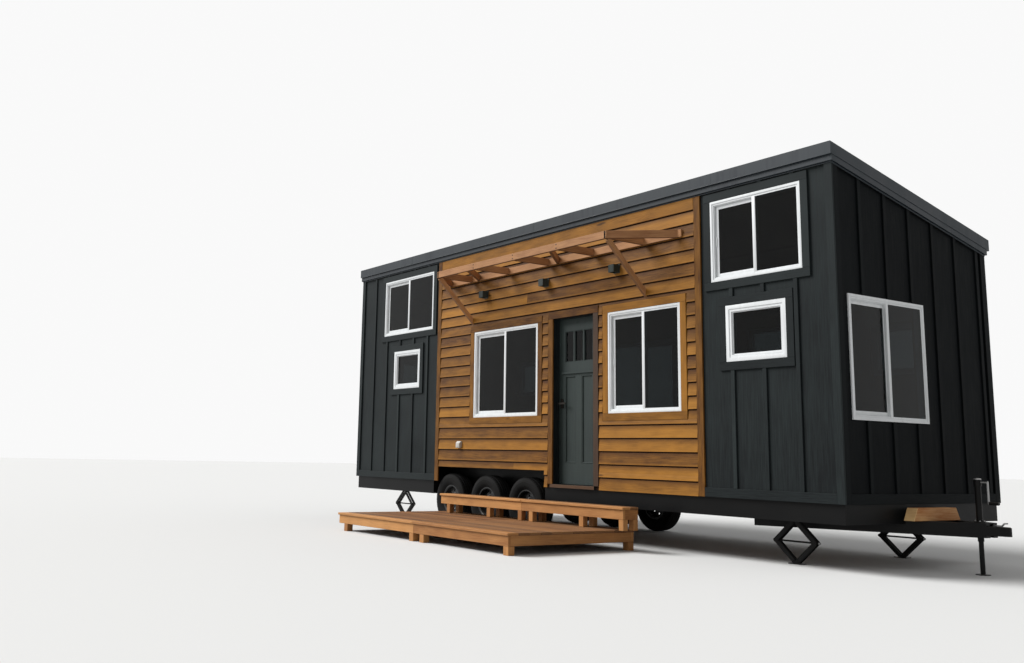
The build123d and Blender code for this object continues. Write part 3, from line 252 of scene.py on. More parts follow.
def squared(x, y, z, ease, steps=1):
    """A block between pairs of sides, with its edges eased."""
    piece = cuboid(x, y, z)
    with editing():
        bpy.ops.mesh.bevel(offset=ease, segments=steps, affect="EDGES")
    return piece


def fix(name, pieces, finish, body="house", stands_for=(), smooth=35):
    """Joins pieces into one, names it, gives it its finish and sets it on its body."""
    bpy.ops.object.select_all(action="DESELECT")
    for piece in pieces:
        piece.select_set(True)
    bpy.context.view_layer.objects.active = pieces[0]
    if len(pieces) > 1:
        bpy.ops.object.join()
    bpy.ops.object.shade_smooth_by_angle(angle=math.radians(smooth))
    piece = bpy.context.object
    piece.name = piece.data.name = name
    piece.data.materials.clear()
    piece.data.materials.append(finish)
    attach(piece, body)
    if stands_for:
        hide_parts(*stands_for)
    return piece


tongue_black = finish_of("tongue_black", coated_steel, (14, 15, 16), 0.12, bump=(0.3, 0.0008), specular=0.12)
plated = (0.2, 0.0003)
zinc_plate = finish_of("zinc_plate", coated_steel, (150, 150, 150), 0.25, bump=plated, Metallic=0.9)
dress(tongue_black, "tongue", "coupler", "tongue_jack")
dress(zinc_plate, "jack_crank")

jack_x, jack_y = 4.7575, 0.91
plate_top, flange_t, bolt_circle = 0.478, 0.007, 0.044
flange_bolts = []
for turn in (math.radians(60 + 120 * i) for i in range(3)):
    seat = (jack_x + bolt_circle * math.cos(turn), jack_y + bolt_circle * math.sin(turn), plate_top + flange_t)
    flange_bolts.append(hex_head(seat, (0, 0, 1), 0.0075, 0.006))
fix("flange_bolts", flange_bolts, zinc_plate)

cap_profile = [(0.868, 0.0), (0.868, 0.0342), (0.869, 0.0353), (0.8725, 0.0353), (0.8815, 0.0275), (0.8835, 0.0)]
cap_seat = Matrix.Translation((jack_x, jack_y, 0)) @ Matrix.Rotation(math.pi / 2, 4, "X")
fix("jack_cap", [turned(cap_profile, 24, cap_seat)], zinc_plate)

grip_profile = [(0.0085, 0.0), (0.0085, 0.0133), (0.009, 0.0158), (0.012, 0.0168)]
grip_profile += [(0.094, 0.0155), (0.101, 0.0135), (0.1035, 0.009), (0.104, 0.0)]
crank_arm_x, grip_z = jack_x + 0.094, 0.654
grip_seat = Matrix.Translation((crank_arm_x, jack_y, grip_z)) @ Matrix.Rotation(-math.pi / 2, 4, "Z")
fix("crank_grip", [turned(grip_profile, 20, grip_seat)], tongue_black, "crank")

latch = squared((4.885, 4.965), (0.895, 0.925), (0.4475, 0.463), 0.004, 2)
with editing():
    pick(lambda m, n: n.x > 0.9, "FACE")
    for step in ((0.022, 0, 0.022), (0.03, 0, 0.004)):
        bpy.ops.mesh.extrude_region_move(TRANSFORM_OT_translate={"value": step})
fix("coupler_latch", [latch], zinc_plate)


# The scissor jacks: crossed pressed-steel arms on pins, drawn together by one long screw.
# Black paint, with a hexagon on each end of the screw that a wrench turns.
dress(tongue_black, "right_scissor_jacks", "left_scissor_jacks")
screw_z, nut_in = 0.2175, 0.012
jack_nuts = []
for jack in ("right_scissor_jacks", "left_scissor_jacks"):
    low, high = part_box(jack)
    for y in (0.03, 1.79):
        for x, out in ((high.x - nut_in, 1), (low.x + nut_in, -1)):
            jack_nuts.append(hex_head((x, y, screw_z), (out, 0, 0), 0.012, 0.009))
fix("jack_nuts", jack_nuts, zinc_plate)


# The wheels: six trailer tyres with four grooves and blocked shoulders, on pierced steel rims.
# Moulded black rubber gone grey with dust; each hub has six lug nuts and a pressed cap.
def copied(piece, seat=Matrix()):
    """A copy with a mesh of its own, carried to its seat."""
    twin = piece.copy()
    twin.data = piece.data.copy()
    bpy.context.scene.collection.objects.link(twin)
    twin.data.transform(seat)
    return twin


tyre_r, tyre_steps = 0.365, 60
crown = [(0.0, tyre_r), (0.008, tyre_r), (0.011, 0.3565), (0.021, 0.3565), (0.025, 0.3648), (0.047, 0.364)]
crown += [(0.051, 0.3555), (0.06, 0.3555)]
shoulder = [(0.064, 0.3586), (0.080, 0.3569), (0.091, 0.3524), (0.1, 0.3445), (0.107, 0.332), (0.1108, 0.316)]
side_wall = [(0.1112, 0.303), (0.1124, 0.301), (0.1124, 0.296), (0.1112, 0.294), (0.111, 0.277), (0.1065, 0.253)]
bead = [(0.098, 0.232), (0.09, 0.221), (0.087, 0.2125), (0.0815, 0.2065), (0.07, 0.206)]
inside = [(0.09, 0.25), (0.094, 0.29), (0.086, 0.325), (0.05, 0.344), (0.0, 0.347)]
half_tyre = crown + shoulder + side_wall + bead + inside
tyre = turned(half_tyre + [(-y, z) for y, z in reversed(half_tyre[1:-1])], tyre_steps, closed=True)


def in_shoulder(m, turn):
    """True on the shoulder faces of every second tread block, from the first or the next."""
    step = int((math.atan2(m.z, m.x) / math.tau + 1) * tyre_steps)
    return 0.066 < abs(m.y) < 0.0985 and math.hypot(m.x, m.z) > 0.342 and step % 2 == turn


block_edge = 0.0045
with editing():
    for turn in (0, 1):
        pick(lambda m, n: in_shoulder(m, turn), "FACE")
        bpy.ops.mesh.inset(thickness=block_edge, depth=block_edge)

rubber, given, gives = new_effect("dusty_rubber", ("Rubber", "Dust"))
place = place_on(rubber)
clouds, grit = noise(place, 5.0, 5.0), noise(place, 210.0, 2.0)
film = ranged(plus(clouds, times(grit, 0.3)), 0.45, 0.85, 0.05, 0.55)
give(gives, blended(film, given["Rubber"], given["Dust"]), ranged(film, 0.0, 0.6, 0.62, 0.9), grit)
tyre_rubber = finish_of("tyre_rubber", rubber, (13, 13, 14), (38, 37, 35), bump=(0.25, 0.0006), specular=0.1)
rim_grey = finish_of("rim_grey", coated_steel, (34, 36, 38), 0.35, bump=(0.2, 0.0005), Metallic=0.4)
cap_metal = finish_of("cap_metal", coated_steel, (84, 86, 88), 0.25, bump=plated, Metallic=0.9)

cap_profile = [(-0.062, 0.0), (-0.062, 0.045), (-0.068, 0.046), (-0.07, 0.043), (-0.088, 0.04)]
cap_profile += [(-0.094, 0.034), (-0.0955, 0.02), (-0.0955, 0.0)]
valve_profile = [(-0.012, 0.0), (-0.012, 0.006), (-0.034, 0.0055), (-0.036, 0.004), (-0.046, 0.004), (-0.048, 0.0)]
lug_circle, disc_face = 0.09, -0.0215
hub_parts = [turned(cap_profile, 28), turned(valve_profile, 10, Matrix.Translation((0.175, -0.03, 0.02)))]
for angle in (i * math.tau / 6 for i in range(6)):
    seat = (lug_circle * math.cos(angle), disc_face, lug_circle * math.sin(angle))
    hub_parts.append(hex_head(seat, (0, -1, 0), 0.011, 0.016))

first_axle, axle_pitch = -2.3075, 0.87
for side, wheel_y, outwards in (("front", -0.2375, 0), ("back", 2.0575, math.pi)):
    for number in (1, 2, 3):
        body, axle_x = f"{side}_wheel_{number}", first_axle + axle_pitch * (number - 1)
        turn = Matrix.Rotation(chance.uniform(0, math.tau), 4, "Y")
        middle = Matrix.Translation((axle_x, wheel_y, tyre_r))
        seat = middle @ Matrix.Rotation(outwards, 4, "Z") @ turn
        tread, covers = f"{side}_tread_{number}", [f"{side}_tyre_{number}"]
        fix(tread, [copied(tyre, seat)], tyre_rubber, body, covers, 30)
        fix(f"{side}_hub_{number}", [copied(part, seat) for part in hub_parts], cap_metal, body)
        dress(rim_grey, f"{side}_rim_{number}")
for piece in (tyre, *hub_parts):
    bpy.data.objects.remove(piece)


# The box on the chassis: a plank floor, and walls and a ceiling lined inside with pale plywood.
# Plywood and planks are oiled softwood; the walls stand on the floor and carry the roof.
def streaks_in(place, scales, detail):
    """Noise drawn out by a scale for each direction."""
    return noise(fed("ShaderNodeMapping", {"Vector": place, "Scale": scales})[0], 1.0, detail)


lining, given, gives = new_effect("lined_wood", ("Pale", "Deep"), ("Board",))
place = place_on(lining)
streaks = streaks_in(place, (1.2, 34.0, 3.0), 5.0)
boards = maths("DIVIDE", fed("ShaderNodeSeparateXYZ", {0: place})[1], given["Board"])
tone = fed("ShaderNodeTexWhiteNoise", {"W": maths("FLOOR", boards)}, noise_dimensions="1D")["Value"]
joint = ranged(maths("ABSOLUTE", plus(maths("FRACT", boards), -0.5)), 0.485, 0.5)
wood = blended(plus(times(streaks, 0.6), times(tone, 0.4)), given["Pale"], given["Deep"])
wood = blended(times(joint, 0.6), wood, (0.02, 0.012, 0.008, 1))
give(gives, wood, ranged(streaks, 0.2, 0.8, 0.4, 0.6), maths("SUBTRACT", streaks, joint))
floor_boards = finish_of("floor_boards", lining, (196, 160, 116), (134, 92, 56), 0.13, bump=(0.3, 0.001))
wall_lining = finish_of("wall_lining", lining, (222, 204, 172), (190, 162, 120), 1.2, bump=(0.15, 0.0005))
dress(floor_boards, "floor")
dress(wall_lining, "roof_slab", *(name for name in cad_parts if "_wall" in name))


# The roof: standing-seam steel over the panels, with a deep edge trim folded in two bands.
# Factory-coated charcoal steel streaked by rain, lapped where lengths meet, with thin strips under its edge.
rain_streaked, given, gives = new_effect("rain_streaked", ("Clean", "Grime"), ("Grime amount",))
place = place_on(rain_streaked)
runs, clouds, fine = streaks_in(place, (26.0, 26.0, 1.1), 4.0), noise(place, 1.7, 4.0), noise(place, 130.0, 2.0)
soiled = times(ranged(plus(times(runs, 0.7), times(clouds, 0.6)), 0.5, 0.95), given["Grime amount"])
rough = ranged(plus(soiled, times(clouds, 0.5)), 0.1, 1.0, 0.34, 0.66)
give(gives, blended(soiled, given["Clean"], given["Grime"]), rough, plus(clouds, times(fine, 0.15)))
roof_steel = finish_of("roof_steel", rain_streaked, (25, 32, 39), (52, 59, 62), 0.7, bump=(0.12, 0.002), specular=0.3)
dress(roof_steel, "roof_cover", "roof_trim")

house_left, house_right, house_front, house_back = -5.0225, 4.2575, -0.395, 2.215
eaves, fall = 3.86, 0.228
upper_band, lower_band, lap_w, sheet_ease = (-0.4362, -0.4348), (-0.4162, -0.4148), 0.05, 0.0004
trim_laps = []
for x in (-3.42, -0.36, 2.72):
    for y, low, high in ((upper_band, eaves + 0.071, eaves + 0.185), (lower_band, eaves + 0.012, eaves + 0.064)):
        trim_laps.append(squared((x, x + lap_w), y, (low, high), sheet_ease))
hem = squared((-5.0475, 4.2825), (-0.4362, -0.4275), (eaves + 0.0605, eaves + 0.0695), 0.0032, 3)
fix("trim_laps", trim_laps + [hem], roof_steel)


def under_roof(y):
    """The height of the roof's underside at a depth."""
    return eaves - fall * (y - house_front)


strip_t, clear, back_eaves = 0.0035, 0.0001, under_roof(house_back)
strip_x = (house_left - strip_t, house_right + strip_t)
front_strip, back_strip = (house_front - strip_t, house_front - clear), (house_back + clear, house_back + strip_t)
# The strips close the gaps under the roof's edge. The front one is as dark as the roof steel, so it also stands for the
# trim's shadow line, as painted shade.
flashing_and_shade_strips = [
    squared(strip_x, front_strip, (eaves - 0.012, eaves - 0.0003), 0.0006),
    squared(strip_x, back_strip, (back_eaves - 0.013, back_eaves - 0.0012), 0.0006),
]
for x in ((strip_x[0], house_left - clear), (house_right + clear, strip_x[1])):
    flashing_and_shade_strips.append(squared(x, (house_front, house_back), (eaves - 0.02, eaves - 0.0006), 0.0006))
    with editing():
        pick(lambda m, n: m.y > 0, "VERT")
        bpy.ops.transform.translate(value=(0, 0, back_eaves - eaves))
fix("flashing_and_shade_strips", flashing_and_shade_strips, roof_steel)


# The black siding: rough-sawn sheets with battens over their joints, skirt, corner and window boards.
# Softwood under black stain that has greyed a little; on the end walls it is painted darker, as painted shade.
def grained(piece, run, key):
    """Lays a board's grain along X, Y or Z, from its own place in the wood, and gives the board its own tone."""
    own = random.Random(key)
    shift = (own.uniform(0, 60), own.uniform(0, 9))
    mesh = piece.data
    marks = mesh.uv_layers.active or mesh.uv_layers.new()
    marks.name = "grain"
    tone = mesh.attributes.new("tone", "FLOAT", "FACE")
    value = own.random()
    for face in mesh.polygons:
        tone.data[face.index].value = value
        flat = max(range(3), key=lambda i: abs(face.normal[i]))
        along, across = [i for i in range(3) if i != flat] if flat == run else (run, 3 - run - flat)
        for corner in face.loop_indices:
            at = mesh.vertices[mesh.loops[corner].vertex_index].co
            marks.data[corner].uv = (at[along] + shift[0], at[across] + shift[1])
    return piece


def board(x, y, z, run, ease=0.002):
    """A board between pairs of sides, with its grain along X, Y or Z (0, 1 or 2)."""
    return grained(squared(x, y, z, ease), run, str((x, y, z)))


def grain_place(tree):
    """Where a point is in its board's own wood."""
    return put(tree, "ShaderNodeUVMap", uv_map="grain").outputs[0]


def stored(tree, name):
    """A value that the mesh carries."""
    return put(tree, "ShaderNodeAttribute", attribute_name=name).outputs["Fac"]


def fading(given, gives, saw_marks, patches, most):
    """Ends a stain's group: it fades in patches, and first of all on the saw marks."""
    worn = times(ranged(plus(times(saw_marks, 0.8), patches), 0.45, most), given["Fading"])
    give(gives, blended(worn, given["Paint"], given["Faded"]), ranged(saw_marks, 0.25, 0.75, 0.5, 0.75), saw_marks)


sawn_paint, given, gives = new_effect("sawn_paint", ("Paint", "Faded"), ("Fading",))
clouds = noise(place_on(sawn_paint), 1.6, 4.0)
saw_marks = streaks_in(grain_place(sawn_paint), (5.0, 120.0, 1.0), 4.0)
fading(given, gives, saw_marks, times(plus(clouds, stored(sawn_paint, "tone")), 0.3), 1.0)
sheet_paint, given, gives = new_effect("sheet_paint", ("Paint", "Faded"), ("Fading",))
place = place_on(sheet_paint)
fading(given, gives, streaks_in(place, (95.0, 95.0, 4.0), 4.0), times(noise(place, 1.3, 4.0), 0.5), 0.95)

sawn, sheet = (0.5, 0.0012), (0.5, 0.0014)
board_stain = finish_of("board_stain", sawn_paint, (12, 16, 18), (54, 62, 62), 0.6, bump=sawn, specular=0.12)
sheet_stain = finish_of("sheet_stain", sheet_paint, (11, 15, 17), (50, 58, 58), 0.6, bump=sheet, specular=0.12)
# Painted shade: darker copies of the same stain for the end walls' boards, battens and sheets, standing for the shade
# that falls on those walls.
shaded_end_board_stain = finish_of("shaded_end_board_stain", sawn_paint, (8, 10, 12), (27, 32, 33), 0.5, bump=sawn, specular=0.06)
shaded_end_stain = finish_of("shaded_end_stain", sheet_paint, (7, 9, 11), (24, 28, 29), 0.5, bump=sheet, specular=0.05)
dress(sheet_stain, "black_front_siding", "black_back_siding")
dress(shaded_end_stain, "black_end_siding")

casing_w, skirt_low, skirt_top, trim_t, saw_gap = 0.089, 0.62, 0.715, 0.02, 0.0003
cedar_left, cedar_right = -2.6505, 2.5675
wheel_left, wheel_right, wheel_top = -2.5695, -0.1165, 0.825
small_left, small_right = (-3.9115, -3.1425, 1.995, 2.585), (2.8955, 3.6645, 2.005, 2.595)
loft_left, loft_right = (-4.2475, -2.7925, 2.856, 3.741), (2.7105, 3.8795, 2.865, 3.745)
lounge, kitchen = (-1.6895, -0.2545, 1.512, 2.707), (1.0825, 2.2515, 1.512, 2.707)
end_lite = (-0.215, 1.01, 1.396, 2.591)


def casing(opening, y):
    """Four casing boards round a window: the head and sill boards run past the sides."""
    x0, x1, z0, z1 = opening
    return [
        board((x0 - casing_w, x1 + casing_w), y, (z1 + saw_gap, z1 + casing_w), 0),
        board((x0 - casing_w, x1 + casing_w), y, (z0 - casing_w, z0 - saw_gap), 0),
        board((x0 - casing_w, x0 - saw_gap), y, (z0 - saw_gap, z1 + saw_gap), 2),
        board((x1 + saw_gap, x1 + casing_w), y, (z0 - saw_gap, z1 + saw_gap), 2),
    ]


front_y, back_y = (house_front, house_front + trim_t), (house_back - trim_t, house_back)
left_corner, right_corner = (house_left, house_left + casing_w), (house_right - casing_w, house_right)
near_corner, far_corner, skirt = house_front + casing_w, house_back - casing_w, (skirt_low, skirt_top)
black_boards = []
for y, ends_at, goes_on in ((front_y, cedar_left, cedar_right), (back_y, wheel_left, wheel_right)):
    black_boards += [board(x, y, skirt, 0) for x in ((left_corner[1], ends_at), (goes_on, right_corner[0]))]
    black_boards += [board(x, y, (skirt_low, under_roof(y[1])), 2) for x in (left_corner, right_corner)]
end_boards = []
for x in ((house_left, house_left + trim_t), (house_right - trim_t, house_right)):
    end_boards.append(board(x, (front_y[1], near_corner), (skirt_low, under_roof(near_corner)), 2))
    end_boards.append(board(x, (far_corner, back_y[0]), (skirt_low, under_roof(back_y[0])), 2))
    end_boards.append(board(x, (near_corner, far_corner), skirt, 1))
for opening in (small_left, loft_left, small_right, loft_right):
    black_boards += casing(opening, front_y)
for opening in (small_left, small_right, lounge, kitchen):
    black_boards += casing(opening, back_y)
fix("black_boards", black_boards, board_stain, stands_for=["black_trim"])
fix("end_boards", end_boards, shaded_end_board_stain)


# The battens: narrow strips over the sheets' joints, cut round the windows.
# The same stained softwood, 51 mm wide and a little thinner than the boards they meet.
batten_w, batten_t, batten_pitch, batten_ease = 0.051, 0.017, 0.4064, 0.003
front_batten_y, back_batten_y = (front_y[1] - batten_t, front_y[1]), (back_y[0], back_y[0] + batten_t)


def gaps_between(low, high, blocked):
    """The stretches from low to high that no blocked pair covers."""
    free = []
    for start, end in sorted(blocked):
        if start > low:
            free.append((low, min(start, high)))
        low = max(low, end)
    if low < high:
        free.append((low, high))
    return [(a, b) for a, b in free if b - a > 0.02]


def battens(first, numbers, y, top, openings):
    """Battens at even steps from the first's right edge, in the stretches that the windows' casings leave."""
    strips = []
    for right in (first + batten_pitch * i for i in numbers):
        met = [o for o in openings if o[0] - casing_w < right and o[1] + casing_w > right - batten_w]
        cuts = [(o[2] - casing_w, o[3] + casing_w) for o in met]
        for stretch in gaps_between(skirt_top, top, cuts):
            strips.append(board((right - batten_w, right), y, stretch, 2, batten_ease))
    return strips


front_top = eaves - 0.005
over_wheels = (wheel_left, wheel_right, skirt_low + casing_w, wheel_top - casing_w)
back_openings = [small_left, small_right, lounge, kitchen, over_wheels]
strips = battens(-4.9505, range(1, 6), front_batten_y, front_top, [small_left, loft_left])
strips += battens(2.9995, range(3), front_batten_y, front_top, [small_right, loft_right])
strips += battens(-4.5441, range(21), back_batten_y, back_eaves + 0.002, back_openings)
fix("battens", strips, board_stain)

strips = []
for face_x, way in ((house_left + trim_t, -1), (house_right - trim_t, 1)):
    x = tuple(sorted((face_x, face_x + way * batten_t)))
    for i in range(6):
        y1 = 0.11 + batten_pitch * i - 0.06
        meets = end_lite[0] - batten_w < y1 - batten_w / 2 < end_lite[1] + batten_w
        blocked = [(end_lite[2] - 0.004, end_lite[3] + 0.004)] if meets else []
        for low, high in gaps_between(skirt_top, under_roof(y1 - batten_w), blocked):
            strip = squared(x, (y1 - batten_w, y1), (low, high), batten_ease)
            if high > end_lite[3] + 0.5:
                with editing():
                    pick(lambda m, n: m.z > high - 0.01 and m.y > y1 - batten_w / 2, "VERT")
                    bpy.ops.transform.translate(value=(0, 0, -fall * batten_w))
            strips.append(grained(strip, 2, str((x, i, low))))
fix("end_battens", strips, shaded_end_board_stain)


# The cedar siding: bevelled boards lapped upwards from the skirt line, each thick at its lower edge.
# Oiled western cedar, no two boards alike, butted to the corner boards and casings. Each board is painted darker
# towards its top, as painted shade, and lighter at its lower lip, as painted highlight.
sawn_wood, given, gives = new_effect("sawn_wood", ("Pale", "Deep", "Knot and shade", "Grey"), ("Weathering",))
split = fed("ShaderNodeSeparateXYZ", {0: grain_place(sawn_wood)})


def along_board(run_scale, cross_scale):
    """The grain's place, drawn out along the board."""
    return fed("ShaderNodeCombineXYZ", {0: times(split[0], run_scale), 1: times(split[1], cross_scale)})[0]


drift, fibre = noise(along_board(0.8, 7.0), 1.0, 2.0), noise(along_board(5.0, 300.0), 1.0, 4.0)
cells = fed("ShaderNodeTexVoronoi", {"Vector": along_board(1.6, 7.5), "Scale": 1.0})
rare = ranged(fed("ShaderNodeSeparateColor", {0: cells["Color"]})[0], 0.74, 0.76)
knot = times(ranged(cells["Distance"], 0.05, 0.13, 1.0, 0.0), rare)
bend = times(ranged(cells["Distance"], 0.0, 0.5, 1.0, 0.0), rare)
rings = plus(times(split[1], 52.0), plus(times(drift, 9.0), times(bend, 2.0)))
late = ranged(maths("SINE", times(rings, math.tau)), -0.2, 1.0)
blotches = noise(along_board(3.5, 11.0), 1.0, 3.0)
deepness = plus(ranged(stored(sawn_wood, "tone"), 0.0, 1.0, -0.2, 0.62), times(late, 0.12))
deepness = plus(plus(deepness, times(plus(fibre, -0.35), 0.6)), times(plus(blotches, -0.35), 0.9))
deepness = maths("MINIMUM", maths("MAXIMUM", deepness, 0.0), 1.0)
wood = blended(times(knot, 0.85), blended(deepness, given["Pale"], given["Deep"]), given["Knot and shade"])
weather = noise(place_on(sawn_wood), 1.4, 5.0)
wood = blended(times(ranged(weather, 0.35, 0.75), given["Weathering"]), wood, given["Grey"])
# Painted shade and painted highlight: each siding board is darkened towards its top, where the board above would shade
# it, and lightened in a band at its lower lip.
rise = stored(sawn_wood, "rise")
wood = blended(ranged(rise, 1.5, 1.9, 0.0, 0.75), wood, given["Deep"])
wood = blended(times(ranged(rise, 0.5, 0.9), ranged(rise, 1.03, 1.16, 0.4, 0.0)), wood, given["Pale"])
# Painted shade: faces that look down are darkened towards the knot colour, as the shade under board butts, beams and
# rims.
wood = blended(ranged(upward(sawn_wood), -0.4, -0.8, 0.0, 0.7), wood, given["Knot and shade"])
give(gives, wood, ranged(fibre, 0.25, 0.75, 0.5, 0.72), plus(fibre, times(late, 0.4)))


def wood_of(name, pale, deep, knot, grey, weathering, relief=0.4, specular=0.25):
    """A finish of sawn wood, by the tones of its early rings, late rings, knot colour (also the painted shade on
    downward faces) and weathered patches.
    """
    return finish_of(name, sawn_wood, pale, deep, knot, grey, weathering, bump=(relief, 0.0008), specular=specular)


knot_and_shade_tones, greyed = (44, 22, 8), (98, 70, 36)
cedar_oiled = wood_of("cedar_oiled", (170, 116, 42), (68, 37, 9), knot_and_shade_tones, greyed, 0.3, specular=0.15)
dark_cedar = wood_of("dark_cedar", (86, 60, 40), (42, 28, 18), knot_and_shade_tones, greyed, 0.2)
# Painted shade: the sheet behind the cedar boards is painted near-black brown, so that the gaps between the boards read
# as shadow lines.
groove_shade_backing = finish_of("groove_shade_backing", sheet_paint, (36, 19, 9), (58, 34, 17), 0.6, bump=(0.3, 0.0008), specular=0.1)

exposures = [0.152] * 6 + [0.1455] * 15
butt_t, tip_t, groove, sliver, sheet_y = 0.0195, 0.006, 0.016, 0.004, front_y[1]
unit_board = squared((0, 1), (-1, 0), (0, 1), 0.0001)
with editing():
    pick(lambda m, n: m.y < -0.99 and m.z < 0.01 and abs(n.x) > 0.9, "EDGE")
    bpy.ops.mesh.bevel(offset=0.012, segments=2, affect="EDGES")


def lapped(x0, x1, low, high, course_low, exposure, key):
    """A length of bevelled siding, or the part of one that is left beside or over a casing."""
    piece = copied(unit_board)
    # The rise, each point's place in its course, drives the painted shade towards the board's top and the painted
    # highlight at its lower lip.
    rise = piece.data.attributes.new("rise", "FLOAT", "POINT")
    for point in piece.data.vertices:
        z = low + point.co.z * (high - low)
        part = (z - course_low) / exposure
        rise.data[point.index].value = 1 + part
        point.co = (x0 + point.co.x * (x1 - x0), sheet_y + point.co.y * (butt_t + (tip_t - butt_t) * part), z)
    return grained(piece, 0, key)


door_left, door_right, door_head = -0.0345, 0.9115, 2.819
field = (cedar_left + casing_w + 0.004, cedar_right - casing_w - 0.004)
holes = [(x0 - casing_w, x1 + casing_w, z0 - casing_w, z1 + casing_w) for x0, x1, z0, z1 in (lounge, kitchen)]
holes += [(door_left, door_right, skirt_low, door_head), (wheel_left, wheel_right, skirt_low, wheel_top)]
siding = []
for course, exposure in enumerate(exposures):
    low = skirt_low + sum(exposures[:course])
    high = low + exposure - groove
    joints = [field[0], field[1]]
    if course % 3 == 1:
        joints.insert(1, field[0] + chance.uniform(1.4, 3.6))
    levels = sorted({low, high, *[z for hole in holes for z in hole[2:] if low + sliver < z < high - sliver]})
    for number, (x0, x1) in enumerate(zip(joints, joints[1:])):
        for z0, z1 in zip(levels, levels[1:]):
            blocked = [hole[:2] for hole in holes if hole[2] < z1 - sliver and hole[3] > z0 + sliver]
            for a, b in gaps_between(x0, x1, blocked):
                a, b = a + 0.009 * (a != x0), b - 0.009 * (b != x1)
                siding.append(lapped(a, b, z0, z1, low, exposure, course * 50 + number))
bpy.data.objects.remove(unit_board)
board_top, frieze_low = eaves - 0.004, skirt_low + sum(exposures)
siding.append(board(field, (sheet_y - butt_t, sheet_y), (frieze_low, board_top), 0))
fix("cedar_boards", siding, cedar_oiled, smooth=25)
dress(groove_shade_backing, "cedar_siding")

cedar_ends = ((cedar_left, cedar_left + casing_w), (cedar_right - casing_w, cedar_right))
cedar_frames = [board(x, front_y, (skirt_low, board_top), 2) for x in cedar_ends]
cedar_frames += casing(lounge, front_y) + casing(kitchen, front_y)
fix("cedar_casings", cedar_frames, cedar_oiled, stands_for=["cedar_trim"])
frame_left, frame_right = 0.0545, 0.8225
beside_door = (skirt_low + 0.042, door_head - casing_w)
door_boards = [
    board((door_left, frame_left), front_y, beside_door, 2),
    board((door_left, door_right), front_y, (door_head - casing_w, door_head), 0),
]
fix("door_casings", door_boards, cedar_oiled)
# The right door casing and the sill board take the darker cedar.
darker_boards = [
    board((frame_right, door_right), front_y, beside_door, 2),
    board((0.026, 0.851), (-0.4085, -0.4066), (0.6215, 0.6608), 0, 0.0008),
]
fix("door_darker_boards", darker_boards, dark_cedar)


# The windows: welded vinyl frames set in the walls, the wide ones with one sash that slides.
# White vinyl, a little soiled in the rain's path, round glass tinted dark, as painted shade for the unlit rooms behind
# it.
def picture_frame(x, y, z, width, ease, steps=2):
    """A mitred frame: its outside in x and z, its depths in y, and the width of its members."""
    piece = cuboid(x, y, z)
    with editing():
        pick(lambda m, n: abs(n.y) > 0.9, "FACE")
        bpy.ops.mesh.inset(thickness=width)
        bpy.ops.mesh.bridge_edge_loops()
        pick(lambda m, n: abs(m.y - y[0]) < 1e-5 and abs(abs(n.x) - abs(n.z)) > 0.5, "EDGE")
        bpy.ops.mesh.bevel(offset=ease, segments=steps, affect="EDGES")
    return piece


def grown(pair, by):
    """A pair of sides moved apart, or together where `by` is negative."""
    return (pair[0] - by, pair[1] + by)


def window(opening, slides):
    """A window in the front wall's own place, from outside in: frame, inner step, beads and sash."""
    x, z, y = opening[:2], opening[2:], house_front
    face = 0.045 if slides else 0.07
    outer, lap = face * 0.62, 0.001
    inner = outer - lap
    parts = [
        picture_frame(x, (y + 0.004, y + 0.1), z, outer, 0.003),
        picture_frame(grown(x, -inner), (y + 0.012, y + 0.098), grown(z, -inner), face - inner, 0.002),
    ]
    gx, gz = grown(x, -face), grown(z, -face)
    bedded = grown(gz, lap)
    if not slides:
        return [*parts, picture_frame(grown(gx, lap), (y + 0.026, y + 0.04), bedded, 0.011, 0.004, 3)]
    middle, level = (gx[0] + gx[1]) / 2, (z[0] + z[1]) / 2
    sash_y, bead_y, fixed_y = (y + 0.0402, y + 0.0698), (y + 0.0424, y + 0.0446), (y + 0.0125, y + 0.0146)
    return parts + [
        picture_frame((gx[0] - lap, middle + 0.019), sash_y, bedded, 0.039, 0.004, 3),
        picture_frame((gx[0] + 0.037, middle - 0.018), bead_y, grown(gz, -0.037), 0.007, 0.0008),
        picture_frame((gx[0] - lap, middle + lap), (y + 0.023, y + 0.03), bedded, 0.009, 0.002),
        squared((middle - 0.019, middle + 0.019), (y + 0.0102, y + 0.0398), grown(gz, 0.0005), 0.003, 2),
        picture_frame((middle + 0.018, gx[1] + lap), fixed_y, bedded, 0.004, 0.0006),
        squared((gx[0] + 0.012, gx[0] + 0.024), (y + 0.031, y + 0.041), (level - 0.05, level + 0.05), 0.002, 2),
    ]


carried_to = {
    "front": Matrix(),
    "back": Matrix(((-1, 0, 0, 0), (0, -1, 0, house_front + house_back), (0, 0, 1, 0), (0, 0, 0, 1))),
    "right": Matrix(((0, -1, 0, house_right + house_front), (1, 0, 0, 0), (0, 0, 1, 0), (0, 0, 0, 1))),
    "left": Matrix(((0, 1, 0, house_left - house_front), (-1, 0, 0, 0), (0, 0, 1, 0), (0, 0, 0, 1))),
}


def windows(side, sliding, fixed=()):
    """A wall's windows, made for the front wall and carried to their own; two of the walls run the other way."""
    made = []
    for opening in (*sliding, *fixed):
        place = opening if side in ("front", "right") else (-opening[1], -opening[0], *opening[2:])
        made += window(place, opening in sliding)
    for piece in made:
        piece.data.transform(carried_to[side])
    return made


vinyl = finish_of("vinyl", rain_streaked, (232, 235, 236), (168, 170, 168), 0.25, bump=(0.08, 0.0005))
for name, made in (
    ("front", windows("front", (lounge, kitchen, loft_left, loft_right), (small_left, small_right))),
    ("back", windows("back", (lounge, kitchen), (small_left, small_right))),
    ("end", windows("left", (end_lite,)) + windows("right", (end_lite,))),
):
    fix(f"{name}_windows", made, vinyl, stands_for=[f"{name}_window_frames"])

